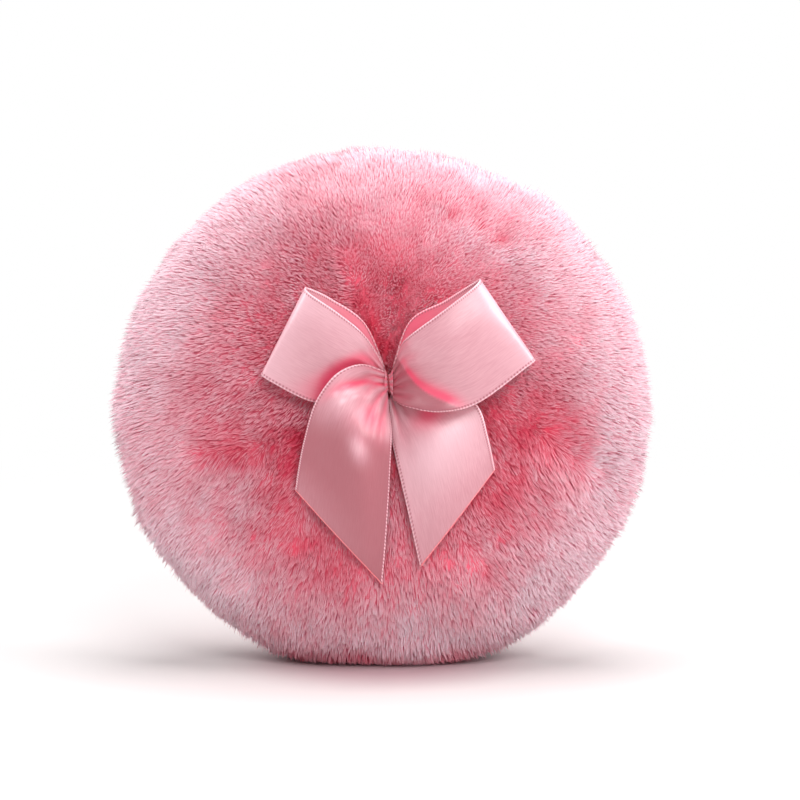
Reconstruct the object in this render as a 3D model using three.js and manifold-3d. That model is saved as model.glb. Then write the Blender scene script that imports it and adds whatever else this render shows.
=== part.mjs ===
// A round plush powder puff with a satin bow, standing on its edge. Millimetres, +Z up, the bow faces -Y.
// Two plush discs are sewn face to face round their edge, turned right side out, stuffed and closed by hand.
import * as THREE from 'three';
import { mergeVertices } from 'three/addons/utils/BufferGeometryUtils.js';
import Module from 'manifold-3d';

const wasm = await Module();
wasm.setup();

// The puff as it stands
const puffDiameter = 90;
const puffThickness = 30;
const rimRoundShare = 0.87;
const leanDegrees = 5;
const standingFlatDepth = 2.9;
const powderFlatDepth = 0.5;
const clearance = 0.3;

// Plush cloth: pile on a knitted ground, its edge turned in at the seam
const pileLength = 9;
const groundThickness = 0.9;
const seamAllowance = 5;

// Sewing threads of the rim
const seamThreadDiameter = 0.4;
const seamInset = 1.7;
const closingThreadDiameter = 0.5;
const closingLength = 30;
const closingWidth = 1.6;
const closingStitchCount = 9;

// Place of the bow on the front face, and the hollow it is drawn into
const bowAcross = 1.0;
const bowAbove = 5.2;
const tuftDepth = 3;
const tuftRadius = 12;
const tuftEdgeRise = 0.5;

// Satin ribbon and the gathers where it is bound
const ribbonWidth = 16;
const ribbonThickness = 0.4;
const layerGap = 0.4;
const gatherLength = 1.4;
const gatherHeight = 5.4;
const gatherDepth = 2.6;
const gatherWaistShare = 0.8;

// Threads of the bow
const bindingThreadDiameter = 0.35;
const bindingPitch = 0.7;
const bindingTurnCount = 1;
const anchorThreadDiameter = 0.8;
const anchorKnotDiameter = 2;

// Fineness of the faceted surfaces
const roundSteps = 40;
const faceSteps = 12;
const innerSteps = 7;
const tuftSteps = 7;
const tuftSides = 28;
const stepsPerStation = 3;
const ribbonAcrossSteps = 6;
const threadSides = 6;
const boreSides = 10;

// Sizes that follow from the ones above
const puffRadius = puffDiameter / 2;
const halfThickness = puffThickness / 2;
const seamHalfGap = clearance / 2;
const pileInnerRadius = puffRadius - pileLength;
const pileInnerDepth = halfThickness - pileLength;
const groundRadius = pileInnerRadius - clearance;
const groundDepth = pileInnerDepth - clearance;
const groundInnerRadius = groundRadius - groundThickness;
const groundInnerDepth = groundDepth - groundThickness;
const allowanceRadius = groundRadius - seamAllowance;
const seamRadius = groundRadius - seamInset;
const closingRadius = groundRadius + clearance + closingThreadDiameter / 2;
const anchorBoreDiameter = anchorThreadDiameter + 2 * clearance;
const layerStep = ribbonThickness + layerGap;
const lean = THREE.MathUtils.degToRad(leanDegrees);

// How deep a rounded face lies over a point of its disc: a superellipse turned round the disc's axis.
function crownDepth(distance, radius, depth) {
  const reach = Math.min(distance / radius, 1);
  return depth * (1 - reach ** (2 / rimRoundShare)) ** (rimRoundShare / 2);
}

// Distance from the axis at which the same face has a given depth.
function crownRadius(height, radius, depth) {
  return crownDepth(height, depth, radius);
}

// The face from its pole to its rim, as points of distance and depth.
function crownProfile(radius, depth, steps) {
  const points = [];
  for (let i = 0; i <= steps; i += 1) {
    const angle = (Math.PI / 2) * (1 - i / steps);
    const distance = radius * Math.abs(Math.cos(angle)) ** rimRoundShare;
    const height = depth * Math.abs(Math.sin(angle)) ** rimRoundShare;
    points.push(new THREE.Vector2(i === 0 ? 0 : distance, i === steps ? 0 : height));
  }
  return points;
}

// The hollow that the bow's stitch draws into the front pile: its depth over the disc's middle plane, at a
// share of its radius. It opens out a little past the face, so that its edge is a clean one.
function tuftSurface(reachShare) {
  const face = crownDepth(Math.hypot(bowAcross, bowAbove), puffRadius, halfThickness);
  const draw = tuftDepth * (1 - reachShare ** 2) ** 2;
  return face - draw + tuftEdgeRise * reachShare ** 2;
}

// Height of the front pile over the disc's middle plane.
function pileFaceDepth(x, z) {
  const crown = crownDepth(Math.hypot(x, z), puffRadius, halfThickness);
  const reachShare = Math.hypot(x - bowAcross, z - bowAbove) / tuftRadius;
  return reachShare < 1 ? Math.min(crown, tuftSurface(reachShare)) : crown;
}

// Closed mesh with shared corners and outward faces, from any closed geometry.
function closedMesh(geometry) {
  const source = geometry.clone();
  source.deleteAttribute('normal');
  source.deleteAttribute('uv');
  const merged = mergeVertices(source);
  const places = merged.getAttribute('position');
  const corners = merged.getIndex().array;
  const kept = [];
  let volume = 0;
  const a = new THREE.Vector3();
  const b = new THREE.Vector3();
  const c = new THREE.Vector3();
  for (let i = 0; i < corners.length; i += 3) {
    const [p, q, r] = [corners[i], corners[i + 1], corners[i + 2]];
    if (p === q || q === r || r === p) continue;
    kept.push(p, q, r);
    a.fromBufferAttribute(places, p);
    b.fromBufferAttribute(places, q);
    c.fromBufferAttribute(places, r);
    volume += a.dot(b.cross(c));
  }
  merged.setIndex(volume < 0 ? kept.reverse() : kept);
  return merged;
}

function solidOf(geometry) {
  const mesh = closedMesh(geometry);
  const vertProperties = new Float32Array(mesh.getAttribute('position').array);
  const triVerts = new Uint32Array(mesh.getIndex().array);
  return new wasm.Manifold(new wasm.Mesh({ numProp: 3, vertProperties, triVerts }));
}

function geometryOf(solid) {
  const mesh = solid.getMesh();
  const geometry = new THREE.BufferGeometry();
  geometry.setAttribute('position', new THREE.Float32BufferAttribute(mesh.vertProperties, 3));
  geometry.setIndex(new THREE.Uint32BufferAttribute(mesh.triVerts, 1));
  return geometry;
}

// A body turned round the disc's axis. The profile gives depths as positive numbers; side -1 is the front.
function turned(profile, side) {
  const points = profile.map((point) => new THREE.Vector2(point.x, side * point.y));
  return closedMesh(new THREE.LatheGeometry(points, roundSteps));
}

// A thread of round section along a curve.
function thread(curve, diameter, steps) {
  const section = [];
  for (let i = 0; i < threadSides; i += 1) {
    const angle = (2 * Math.PI * i) / threadSides;
    section.push(new THREE.Vector2(Math.cos(angle), Math.sin(angle)).multiplyScalar(diameter / 2));
  }
  const options = { steps, extrudePath: curve, bevelEnabled: false };
  return closedMesh(new THREE.ExtrudeGeometry(new THREE.Shape(section), options));
}

// A round drill along the disc's axis at the bow's place, between two depths on the front side.
function bowDrill(diameter, fromDepth, toDepth) {
  const drill = new THREE.CylinderGeometry(diameter / 2, diameter / 2, fromDepth - toDepth, boreSides);
  drill.translate(bowAcross, -(fromDepth + toDepth) / 2, bowAbove);
  return solidOf(drill);
}

// What lies below the floor, in the leaned frame of the puff.
function floorBlock() {
  const block = new THREE.BoxGeometry(2 * puffDiameter, 2 * puffDiameter, puffRadius);
  block.translate(0, 0, standingFlatDepth - puffRadius - puffRadius / 2);
  block.rotateX(lean);
  return solidOf(block);
}

// Pile of one disc: a thick bowl of fibre that meets the other at the seam, with room for the closing stitch.
function pileHalf(side, flatDepth) {
  const crownHeight = halfThickness + flatDepth;
  const outer = crownProfile(puffRadius, crownHeight, faceSteps).filter((point) => point.y < halfThickness);
  const channelRadius = closingRadius + closingThreadDiameter / 2 + clearance;
  const channelDepth = closingWidth / 2 + closingThreadDiameter / 2 + clearance;
  const inner = crownProfile(pileInnerRadius, pileInnerDepth, innerSteps);
  const aboveChannel = inner.filter((point) => point.y > channelDepth).reverse();
  const profile = [new THREE.Vector2(0, halfThickness)];
  if (flatDepth > 0) {
    profile.push(new THREE.Vector2(crownRadius(halfThickness, puffRadius, crownHeight), halfThickness));
  }
  profile.push(...outer.map((point) => new THREE.Vector2(point.x, Math.max(point.y, seamHalfGap))));
  profile.push(new THREE.Vector2(channelRadius, seamHalfGap));
  profile.push(new THREE.Vector2(channelRadius, channelDepth));
  profile.push(new THREE.Vector2(crownRadius(channelDepth, pileInnerRadius, pileInnerDepth), channelDepth));
  profile.push(...aboveChannel);
  return turned(profile, side);
}

// The stitch pulls the front pile in: what the pile gives up over the hollow.
function tuftBlock() {
  const profile = [];
  for (let i = 0; i <= tuftSteps; i += 1) {
    profile.push(new THREE.Vector2((tuftRadius * i) / tuftSteps, -tuftSurface(i / tuftSteps)));
  }
  profile.push(new THREE.Vector2(tuftRadius, -puffThickness), new THREE.Vector2(0, -puffThickness));
  const block = new THREE.LatheGeometry(profile, tuftSides);
  block.translate(bowAcross, 0, bowAbove);
  return solidOf(block);
}

function frontPile() {
  const bore = bowDrill(anchorBoreDiameter, puffThickness, 0);
  const whole = solidOf(pileHalf(-1, 0));
  return geometryOf(whole.subtract(tuftBlock()).subtract(floorBlock()).subtract(bore));
}

function rearPile() {
  return geometryOf(solidOf(pileHalf(1, powderFlatDepth)).subtract(floorBlock()));
}

// Knitted ground of one disc: a thin dome whose edge turns in as the seam allowance, grooved for the thread.
function groundProfile() {
  const grooveHalf = seamThreadDiameter / 2 + clearance;
  const hemDepth = seamHalfGap + groundThickness;
  const hemReach = crownRadius(hemDepth, groundInnerRadius, groundInnerDepth);
  const outer = crownProfile(groundRadius, groundDepth, innerSteps);
  const inner = crownProfile(groundInnerRadius, groundInnerDepth, innerSteps);
  return [
    ...outer.map((point) => new THREE.Vector2(point.x, Math.max(point.y, seamHalfGap))),
    new THREE.Vector2(seamRadius + grooveHalf, seamHalfGap),
    new THREE.Vector2(seamRadius + grooveHalf, grooveHalf),
    new THREE.Vector2(seamRadius - grooveHalf, grooveHalf),
    new THREE.Vector2(seamRadius - grooveHalf, seamHalfGap),
    new THREE.Vector2(allowanceRadius, seamHalfGap),
    new THREE.Vector2(allowanceRadius, hemDepth),
    new THREE.Vector2(hemReach, hemDepth),
    ...inner.filter((point) => point.y > hemDepth).reverse(),
  ];
}

function frontGround() {
  const bore = bowDrill(anchorBoreDiameter, puffThickness, 0);
  return geometryOf(solidOf(turned(groundProfile(), -1)).subtract(bore));
}

function rearGround() {
  return turned(groundProfile(), 1);
}

// Where the knot at the thread's end lies, just behind the front ground.
const bowOffset = Math.hypot(bowAcross, bowAbove);
const anchorKnotSeat = crownDepth(bowOffset, groundInnerRadius, groundInnerDepth) - clearance;
const anchorKnotEnd = anchorKnotSeat - anchorKnotDiameter;

// Stuffing: a flat round pad inside the turned-in edges, with a pocket for the anchor's knot.
function stuffing() {
  const radius = groundInnerRadius - clearance;
  const depth = groundInnerDepth - clearance;
  const edge = allowanceRadius - clearance;
  const face = crownProfile(radius, depth, innerSteps).filter((point) => point.x < edge);
  face.push(new THREE.Vector2(edge, crownDepth(edge, radius, depth)));
  const back = face.map((point) => new THREE.Vector2(point.x, -point.y)).reverse();
  const pocketDiameter = anchorKnotDiameter + 2 * clearance;
  const pocket = bowDrill(pocketDiameter, halfThickness, anchorKnotEnd - clearance);
  return geometryOf(solidOf(turned([...face, ...back], 1)).subtract(pocket));
}

// Half the angle that the hand-closed opening takes, centred on the lowest point of the rim.
const openingHalfAngle = closingLength / closingRadius / 2;

// A curve round the rim between two angles, counted from the lowest point, that sways from side to side.
class RimCurve extends THREE.Curve {
  constructor(radius, from, to, swayWidth, swayCount) {
    super();
    Object.assign(this, { radius, from, to, swayWidth, swayCount });
  }

  getPoint(t, target = new THREE.Vector3()) {
    const angle = THREE.MathUtils.lerp(this.from, this.to, t);
    const sway = (this.swayWidth / 2) * Math.sin(2 * Math.PI * this.swayCount * t);
    return target.set(this.radius * Math.sin(angle), sway, -this.radius * Math.cos(angle));
  }
}

// Machine seam through both allowances, all round but for the opening that the puff was turned through.
function seamThread() {
  const curve = new RimCurve(seamRadius, openingHalfAngle, 2 * Math.PI - openingHalfAngle, 0, 0);
  return thread(curve, seamThreadDiameter, roundSteps);
}

// Hand stitch over the opening, from fold to fold.
function closingStitch() {
  const stepsPerStitch = 4;
  const swayCount = closingStitchCount / 2;
  const curve = new RimCurve(closingRadius, -openingHalfAngle, openingHalfAngle, closingWidth, swayCount);
  return thread(curve, closingThreadDiameter, closingStitchCount * stepsPerStitch);
}

// Depth of the gathers' middle: the binding thread lies between them and the bottom of the tufted hollow.
const waistHalfDepth = (gatherDepth / 2) * gatherWaistShare;
const waistHalfHeight = (gatherHeight / 2) * gatherWaistShare;
const hollowDepth = pileFaceDepth(bowAcross, bowAbove);
const bowDepth = hollowDepth + clearance + bindingThreadDiameter + clearance + waistHalfDepth;

// Ribbon where the thread bites: a flattened bundle of gathers, narrower at its waist.
function bowGathers() {
  const pleatCount = 9;
  const pleatShare = 0.06;
  const endHalf = gatherLength / 2;
  const rings = 6;
  const profile = [new THREE.Vector2(0, -endHalf)];
  for (let i = 0; i <= rings; i += 1) {
    const along = -1 + (2 * i) / rings;
    const girth = THREE.MathUtils.lerp(gatherWaistShare, 1, along * along);
    profile.push(new THREE.Vector2(girth, along * endHalf));
  }
  profile.push(new THREE.Vector2(0, endHalf));
  const bundle = new THREE.LatheGeometry(profile, 4 * pleatCount);
  const places = bundle.getAttribute('position');
  for (let i = 0; i < places.count; i += 1) {
    const along = places.getY(i) / endHalf;
    const angle = Math.atan2(places.getX(i), places.getZ(i));
    const pleat = 1 - pleatShare * along * along * (1 + Math.cos(2 * pleatCount * angle)) / 2;
    const across = places.getX(i) * pleat * (gatherDepth / 2);
    const upright = places.getZ(i) * pleat * (gatherHeight / 2);
    places.setXYZ(i, places.getY(i), across, upright);
  }
  bundle.translate(bowAcross, -bowDepth, bowAbove);
  return closedMesh(bundle);
}

// The binding winds round the waist as one thread, and both its ends lie behind the bow.
class BindingCurve extends THREE.Curve {
  getPoint(t, target = new THREE.Vector3()) {
    const stand = clearance + bindingThreadDiameter / 2;
    const angle = 2 * Math.PI * bindingTurnCount * t;
    const along = bindingPitch * bindingTurnCount * (t - 0.5);
    const depth = (waistHalfDepth + stand) * Math.cos(angle);
    const upright = (waistHalfHeight + stand) * Math.sin(angle);
    return target.set(bowAcross + along, -bowDepth + depth, bowAbove + upright);
  }
}

// Least gap between one turn of the binding and the next, measured on points of its middle line.
function leastBindingGap(curve) {
  const samplesPerTurn = 120;
  const samples = curve.getPoints(samplesPerTurn * bindingTurnCount);
  let least = Infinity;
  for (let i = 0; i < samples.length; i += 1) {
    for (let j = i + samplesPerTurn / 2; j < samples.length; j += 1) {
      least = Math.min(least, samples[i].distanceTo(samples[j]));
    }
  }
  return least - bindingThreadDiameter;
}

function bowBinding() {
  const stepsPerTurn = 24;
  const curve = new BindingCurve();
  console.log(`least gap of the binding thread to itself: ${leastBindingGap(curve).toFixed(3)} mm`);
  return thread(curve, bindingThreadDiameter, stepsPerTurn * bindingTurnCount);
}

// Doubled thread from behind the binding through pile and ground, ending in a knot inside the stuffing.
function bowAnchor() {
  const threadRadius = anchorThreadDiameter / 2;
  const knotRadius = anchorKnotDiameter / 2;
  const knotMiddle = anchorKnotSeat - knotRadius;
  const knotSteps = 8;
  const leaveAngle = Math.asin(threadRadius / knotRadius);
  const profile = [new THREE.Vector2(0, hollowDepth), new THREE.Vector2(threadRadius, hollowDepth)];
  for (let i = 0; i <= knotSteps; i += 1) {
    const angle = THREE.MathUtils.lerp(leaveAngle, Math.PI, i / knotSteps);
    const distance = i === knotSteps ? 0 : knotRadius * Math.sin(angle);
    profile.push(new THREE.Vector2(distance, knotMiddle + knotRadius * Math.cos(angle)));
  }
  const points = profile.map((point) => new THREE.Vector2(point.x, -point.y));
  const anchor = new THREE.LatheGeometry(points, boreSides);
  anchor.translate(bowAcross, 0, bowAbove);
  return closedMesh(anchor);
}

// Stations of the ribbon, from its gathered end on. Each has its two selvedges, upper and lower, as shares of
// the ribbon's width outward from the gathers and above the bow's middle, the layer that it lies in, counted
// from the pile, and how far it stands off that layer at four places from the upper selvedge to the lower.
const rightLoopShares = [
  { layer: 1, upper: [0, 0.16], lower: [0, -0.14], lifts: [0, 0, 0, 0] },
  { layer: 1, upper: [0.17, 0.64], lower: [0.32, -0.17], lifts: [0.02, 0.03, 0.04, 0.04] },
  { layer: 1, upper: [0.53, 0.85], lower: [0.75, -0.12], lifts: [0.05, 0.06, 0.08, 0.08] },
  { layer: 1, upper: [0.8, 1.02], lower: [1.35, 0.2], lifts: [0.1, 0.1, 0.09, 0.08] },
  { layer: 1.5, upper: [0.88, 1.065], lower: [1.445, 0.235], lifts: [0.2, 0.2, 0.16, 0.12] },
  { layer: 2, upper: [0.81, 0.985], lower: [1.36, 0.17], lifts: [0.3, 0.3, 0.24, 0.17] },
  { layer: 2, upper: [0.49, 0.74], lower: [0.86, -0.19], lifts: [0.33, 0.36, 0.26, 0.2] },
  { layer: 2, upper: [0.18, 0.51], lower: [0.48, -0.28], lifts: [0.24, 0.28, 0.17, 0.2] },
  { layer: 2, upper: [0.078, 0.39], lower: [0.16, -0.24], lifts: [0.1, 0.12, 0.07, 0.12] },
  { layer: 2, upper: [0, 0.17], lower: [0, -0.17], lifts: [0, 0, 0, 0] },
];
const leftLoopShares = [
  { layer: 0, upper: [0, 0.16], lower: [0, -0.15], lifts: [0, 0, 0, 0] },
  { layer: 0, upper: [0.2, 0.62], lower: [0.32, -0.14], lifts: [0, 0, 0.01, 0.01] },
  { layer: 0, upper: [0.53, 0.86], lower: [0.69, -0.12], lifts: [0.03, 0.03, 0.03, 0.03] },
  { layer: 0, upper: [0.74, 0.965], lower: [1.17, 0.04], lifts: [0.07, 0.07, 0.06, 0.05] },
  { layer: 0.5, upper: [0.8, 0.98], lower: [1.25, 0.09], lifts: [0.16, 0.15, 0.11, 0.08] },
  { layer: 1, upper: [0.75, 0.92], lower: [1.17, 0.03], lifts: [0.25, 0.24, 0.17, 0.11] },
  { layer: 1, upper: [0.49, 0.745], lower: [0.75, -0.18], lifts: [0.25, 0.24, 0.13, 0.07] },
  { layer: 1, upper: [0.2, 0.5], lower: [0.35, -0.22], lifts: [0.14, 0.12, 0.07, 0.04] },
  { layer: 1, upper: [0, 0.17], lower: [0, -0.17], lifts: [0, 0, 0, 0] },
];
const leftTailShares = [
  { layer: 2, upper: [0, 0.12], lower: [0, -0.17], lifts: [0, 0, 0, 0] },
  { layer: 2, upper: [0.22, 0.2], lower: [-0.04, -0.3], lifts: [0.14, 0.07, 0.1, 0.02] },
  { layer: 2, upper: [0.42, 0.15], lower: [-0.07, -0.43], lifts: [0.22, 0.19, 0.16, 0.03] },
  { layer: 2, upper: [0.57, 0.02], lower: [-0.075, -0.56], lifts: [0.25, 0.27, 0.18, 0.03] },
  { layer: 2, upper: [0.71, -0.21], lower: [-0.065, -0.79], lifts: [0.19, 0.27, 0.2, 0.03] },
  { layer: 1, upper: [0.81, -0.55], lower: [-0.045, -1.2], lifts: [0.09, 0.19, 0.16, 0.02] },
  { layer: 0.5, upper: [0.87, -0.83], lower: [-0.015, -1.66], lifts: [0.04, 0.11, 0.1, 0.02] },
  { layer: 0, upper: [0.91, -1.09], lower: [0.02, -2.07], lifts: [0.02, 0.06, 0.05, 0.01] },
];
const rightTailShares = [
  { layer: 0, upper: [0, 0.02], lower: [0, -0.17], lifts: [0, 0, 0, 0] },
  { layer: 0, upper: [0.3, 0.01], lower: [-0.02, -0.34], lifts: [0.01, 0.02, 0.02, 0.01] },
  { layer: 0, upper: [0.63, -0.08], lower: [-0.02, -0.54], lifts: [0.03, 0.06, 0.06, 0.01] },
  { layer: 0, upper: [0.87, -0.24], lower: [0.03, -0.78], lifts: [0.04, 0.11, 0.11, 0.02] },
  { layer: 0, upper: [0.97, -0.55], lower: [0.13, -1.22], lifts: [0.03, 0.12, 0.11, 0.02] },
  { layer: 0, upper: [1.04, -0.88], lower: [0.275, -1.89], lifts: [0.02, 0.06, 0.06, 0.01] },
];

// A smooth curve through one pair of numbers of every station.
function stationCurve(stations, pairOf) {
  return new THREE.SplineCurve(stations.map((station) => new THREE.Vector2(...pairOf(station))));
}

// Middle surface of a stretch of ribbon. side is 1 for the right of the gathers and -1 for the left.
function ribbonSurface(stations, side) {
  const upper = stationCurve(stations, (station) => station.upper);
  const lower = stationCurve(stations, (station) => station.lower);
  const upperLifts = stationCurve(stations, (station) => station.lifts.slice(0, 2));
  const lowerLifts = stationCurve(stations, (station) => station.lifts.slice(2));
  const layers = stationCurve(stations, (station) => [station.layer, 0]);
  return (along, across) => {
    const place = upper.getPoint(along).lerp(lower.getPoint(along), across).multiplyScalar(ribbonWidth);
    const lifts = [...upperLifts.getPoint(along).toArray(), ...lowerLifts.getPoint(along).toArray()];
    const liftCurve = new THREE.SplineCurve(lifts.map((lift) => new THREE.Vector2(lift, 0)));
    const lift = liftCurve.getPoint(across).x * ribbonWidth;
    const x = bowAcross + side * (gatherLength / 2 + clearance + place.x);
    const z = bowAbove + place.y;
    const stand = clearance + ribbonThickness / 2 + layers.getPoint(along).x * layerStep + lift;
    return new THREE.Vector3(x, -(pileFaceDepth(x, z) + stand), z);
  };
}

// A stretch of ribbon as a closed solid: both faces lie half the thickness off the middle surface.
function ribbon(stations, side) {
  const alongSteps = (stations.length - 1) * stepsPerStation;
  const acrossSteps = ribbonAcrossSteps;
  const surface = ribbonSurface(stations, side);
  const nudgeShare = 0.01;
  const normalAt = (along, across) => {
    const ahead = surface(Math.min(along + nudgeShare, 1), across);
    const behind = surface(Math.max(along - nudgeShare, 0), across);
    const below = surface(along, Math.min(across + nudgeShare, 1));
    const above = surface(along, Math.max(across - nudgeShare, 0));
    return ahead.sub(behind).cross(below.sub(above)).normalize();
  };
  const places = [];
  for (const face of [-1, 1]) {
    for (let i = 0; i <= alongSteps; i += 1) {
      for (let j = 0; j <= acrossSteps; j += 1) {
        const along = i / alongSteps;
        const across = j / acrossSteps;
        const offset = normalAt(along, across).multiplyScalar((face * ribbonThickness) / 2);
        places.push(...surface(along, across).add(offset).toArray());
      }
    }
  }
  const row = acrossSteps + 1;
  const faceCount = (alongSteps + 1) * row;
  const index = [];
  const quad = (a, b, c, d) => index.push(a, b, c, a, c, d);
  for (let i = 0; i < alongSteps; i += 1) {
    for (let j = 0; j < acrossSteps; j += 1) {
      const a = i * row + j;
      quad(a, a + row, a + row + 1, a + 1);
      quad(faceCount + a, faceCount + a + 1, faceCount + a + row + 1, faceCount + a + row);
    }
  }
  const edge = [];
  for (let j = 0; j < acrossSteps; j += 1) edge.push(j);
  for (let i = 0; i < alongSteps; i += 1) edge.push(i * row + acrossSteps);
  for (let j = acrossSteps; j > 0; j -= 1) edge.push(alongSteps * row + j);
  for (let i = alongSteps; i > 0; i -= 1) edge.push(i * row);
  edge.forEach((a, k) => {
    const b = edge[(k + 1) % edge.length];
    quad(a, b, faceCount + b, faceCount + a);
  });
  const geometry = new THREE.BufferGeometry();
  geometry.setAttribute('position', new THREE.Float32BufferAttribute(places, 3));
  geometry.setIndex(index);
  return closedMesh(geometry);
}

// Finishes, as seen on the object
const pileColour = 0xe58b9c;
const groundColour = 0xc75c70;
const stuffingColour = 0xf4f1ea;
const satinColour = 0xeda6b0;
const threadColour = 0xb0404f;

function piece(name, geometry, color, roughness) {
  const material = new THREE.MeshStandardMaterial({ color, roughness, metalness: 0 });
  const mesh = new THREE.Mesh(geometry, material);
  mesh.name = name;
  return mesh;
}

// The puff in its own frame, the disc's axis along Y, then leaned back on its lower edge
const puff = new THREE.Group();
puff.add(
  piece('filling', stuffing(), stuffingColour, 0.95),
  piece('front_ground', frontGround(), groundColour, 0.9),
  piece('rear_ground', rearGround(), groundColour, 0.9),
  piece('front_pile', frontPile(), pileColour, 0.95),
  piece('rear_pile', rearPile(), pileColour, 0.95),
  piece('seam_thread', seamThread(), threadColour, 0.7),
  piece('closing_stitch', closingStitch(), threadColour, 0.7),
  piece('bow_gathers', bowGathers(), satinColour, 0.4),
  piece('bow_left_loop', ribbon(leftLoopShares, -1), satinColour, 0.35),
  piece('bow_right_loop', ribbon(rightLoopShares, 1), satinColour, 0.35),
  piece('bow_left_tail', ribbon(leftTailShares, -1), satinColour, 0.35),
  piece('bow_right_tail', ribbon(rightTailShares, 1), satinColour, 0.35),
  piece('bow_binding_thread', bowBinding(), threadColour, 0.6),
  piece('bow_anchor_thread', bowAnchor(), threadColour, 0.7),
);
puff.rotation.x = -lean;

// Origin at the middle of the object's box, on the floor
const powderPuff = new THREE.Group();
powderPuff.add(puff);
powderPuff.updateMatrixWorld(true);
const reach = new THREE.Box3().setFromObject(powderPuff, true);
const middle = reach.getCenter(new THREE.Vector3());
puff.position.set(-middle.x, -middle.y, -reach.min.z);

export default powderPuff;
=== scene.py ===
import math

import bmesh
import bpy
import numpy as np
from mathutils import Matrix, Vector
from mathutils.kdtree import KDTree


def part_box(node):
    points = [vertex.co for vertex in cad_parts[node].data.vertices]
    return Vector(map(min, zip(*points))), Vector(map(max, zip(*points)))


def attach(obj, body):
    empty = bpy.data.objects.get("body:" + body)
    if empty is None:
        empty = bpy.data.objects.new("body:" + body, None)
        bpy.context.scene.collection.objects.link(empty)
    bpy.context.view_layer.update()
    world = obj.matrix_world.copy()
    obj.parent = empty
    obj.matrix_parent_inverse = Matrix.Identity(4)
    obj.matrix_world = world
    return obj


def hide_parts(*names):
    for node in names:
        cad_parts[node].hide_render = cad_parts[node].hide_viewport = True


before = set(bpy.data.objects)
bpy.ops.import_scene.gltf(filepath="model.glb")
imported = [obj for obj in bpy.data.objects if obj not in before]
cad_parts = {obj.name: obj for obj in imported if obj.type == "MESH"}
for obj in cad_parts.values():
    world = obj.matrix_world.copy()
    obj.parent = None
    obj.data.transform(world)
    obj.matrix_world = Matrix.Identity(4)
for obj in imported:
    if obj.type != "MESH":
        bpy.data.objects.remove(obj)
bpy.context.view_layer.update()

# Where the puff stands
# The puff is a soft round pad that stands on its rim and leans back a little. Its pieces are made in the
# pad's own frame, in millimetres: the disc's axis along Y with the bow in front, Z up, X to the right.
millimetre = 0.001
lean = math.radians(5)


def puff_middle():
    """The pad's centre in the room: the two knitted grounds lie evenly round it."""
    corners = [*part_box("front_ground"), *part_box("rear_ground")]
    low = Vector([min(corner[axis] for corner in corners) for axis in range(3)])
    high = Vector([max(corner[axis] for corner in corners) for axis in range(3)])
    return (low + high) / 2


def stood_up(places):
    """Places in the pad's own frame, in millimetres, as places in the room, in metres."""
    across, deep, up = np.moveaxis(np.asarray(places, dtype=float), -1, 0)
    leaned = [
        across,
        deep * math.cos(lean) + up * math.sin(lean),
        up * math.cos(lean) - deep * math.sin(lean),
    ]
    return np.stack(leaned, axis=-1) * millimetre + np.array(puff_middle())


# Camera
# It looks at the bow from an arm's length, from a little above, through a long lens. It aims a little to the
# right of the pad's middle and above it.
view_distance = 0.6
view_height = math.radians(8)
aim_right = 2.86
aim_up = 1.68
aim = puff_middle() + Vector((aim_right, 0, aim_up)) * millimetre
towards_eye = Vector((0, -math.cos(view_height), math.sin(view_height)))
camera_data = bpy.data.cameras.new("camera")
camera_data.sensor_width = 36
camera_data.lens = 160.7
camera_data.clip_start = 0.01
camera = bpy.data.objects.new("camera", camera_data)
camera.location = aim + towards_eye * view_distance
camera.rotation_euler = towards_eye.to_track_quat("Z", "Y").to_euler()
bpy.context.scene.collection.objects.link(camera)
bpy.context.scene.camera = camera

# Stuffing
# A wad of loose white polyester fibre that fills the two sewn discs and keeps the pad plump. It is pulled
# into a flat round cushion and pushed in through the opening at the bottom, so its skin is lumpy.
puff_radius = 45.0
puff_half_depth = 15.0
rim_round = 0.87
pile_length = 9.0
gap = 0.3
ground_thickness = 0.9
ground_radius = puff_radius - pile_length - gap
ground_depth = puff_half_depth - pile_length - gap
seam_allowance = 5.0
allowance_radius = ground_radius - seam_allowance
bow_across = 1.0
bow_above = 5.2
anchor_thread_diameter = 0.8
knot_diameter = 2.0


def face_depth(distance, radius, depth):
    """How deep the rounded face lies over a point of the disc: a superellipse turned round the axis."""
    reach = np.minimum(np.asarray(distance, dtype=float) / radius, 1)
    return depth * (1 - reach ** (2 / rim_round)) ** (rim_round / 2)


def swell(places, spacing, seed):
    """Smooth random unevenness round zero, whose hills lie about one spacing apart."""
    wave_count = 18
    draw = np.random.default_rng(seed)
    directions = draw.normal(size=(wave_count, 3))
    directions /= np.linalg.norm(directions, axis=1, keepdims=True)
    starts = draw.uniform(0, 2 * math.pi, wave_count)
    waves = np.sin(places @ directions.T * (2 * math.pi / spacing) + starts)
    return waves.sum(axis=1) / math.sqrt(wave_count / 2)


def piece_from(name, points, faces, smooth=True):
    """A piece of the puff from points in the pad's frame and faces with outward order."""
    mesh = bpy.data.meshes.new(name)
    mesh.from_pydata(stood_up(points).tolist(), [], faces)
    if smooth:
        mesh.shade_smooth()
    mesh.validate()
    piece = bpy.data.objects.new(name, mesh)
    bpy.context.scene.collection.objects.link(piece)
    return piece


def turned(profile, sides):
    """Points and faces of a closed profile of distance and depth, turned round the disc's axis."""
    angles = np.arange(sides) * 2 * math.pi / sides
    distance = profile[:, 0][None, :]
    deep = np.broadcast_to(profile[:, 1][None, :], (sides, len(profile)))
    across = distance * np.sin(angles)[:, None]
    up = distance * np.cos(angles)[:, None]
    points = np.stack([across, deep, up], axis=-1).reshape(-1, 3)
    count = len(profile)
    faces = []
    for side in range(sides):
        here = side * count
        there = (side + 1) % sides * count
        for step in range(count):
            after = (step + 1) % count
            faces.append((here + step, there + step, there + after, here + after))
    return points, faces


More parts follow.
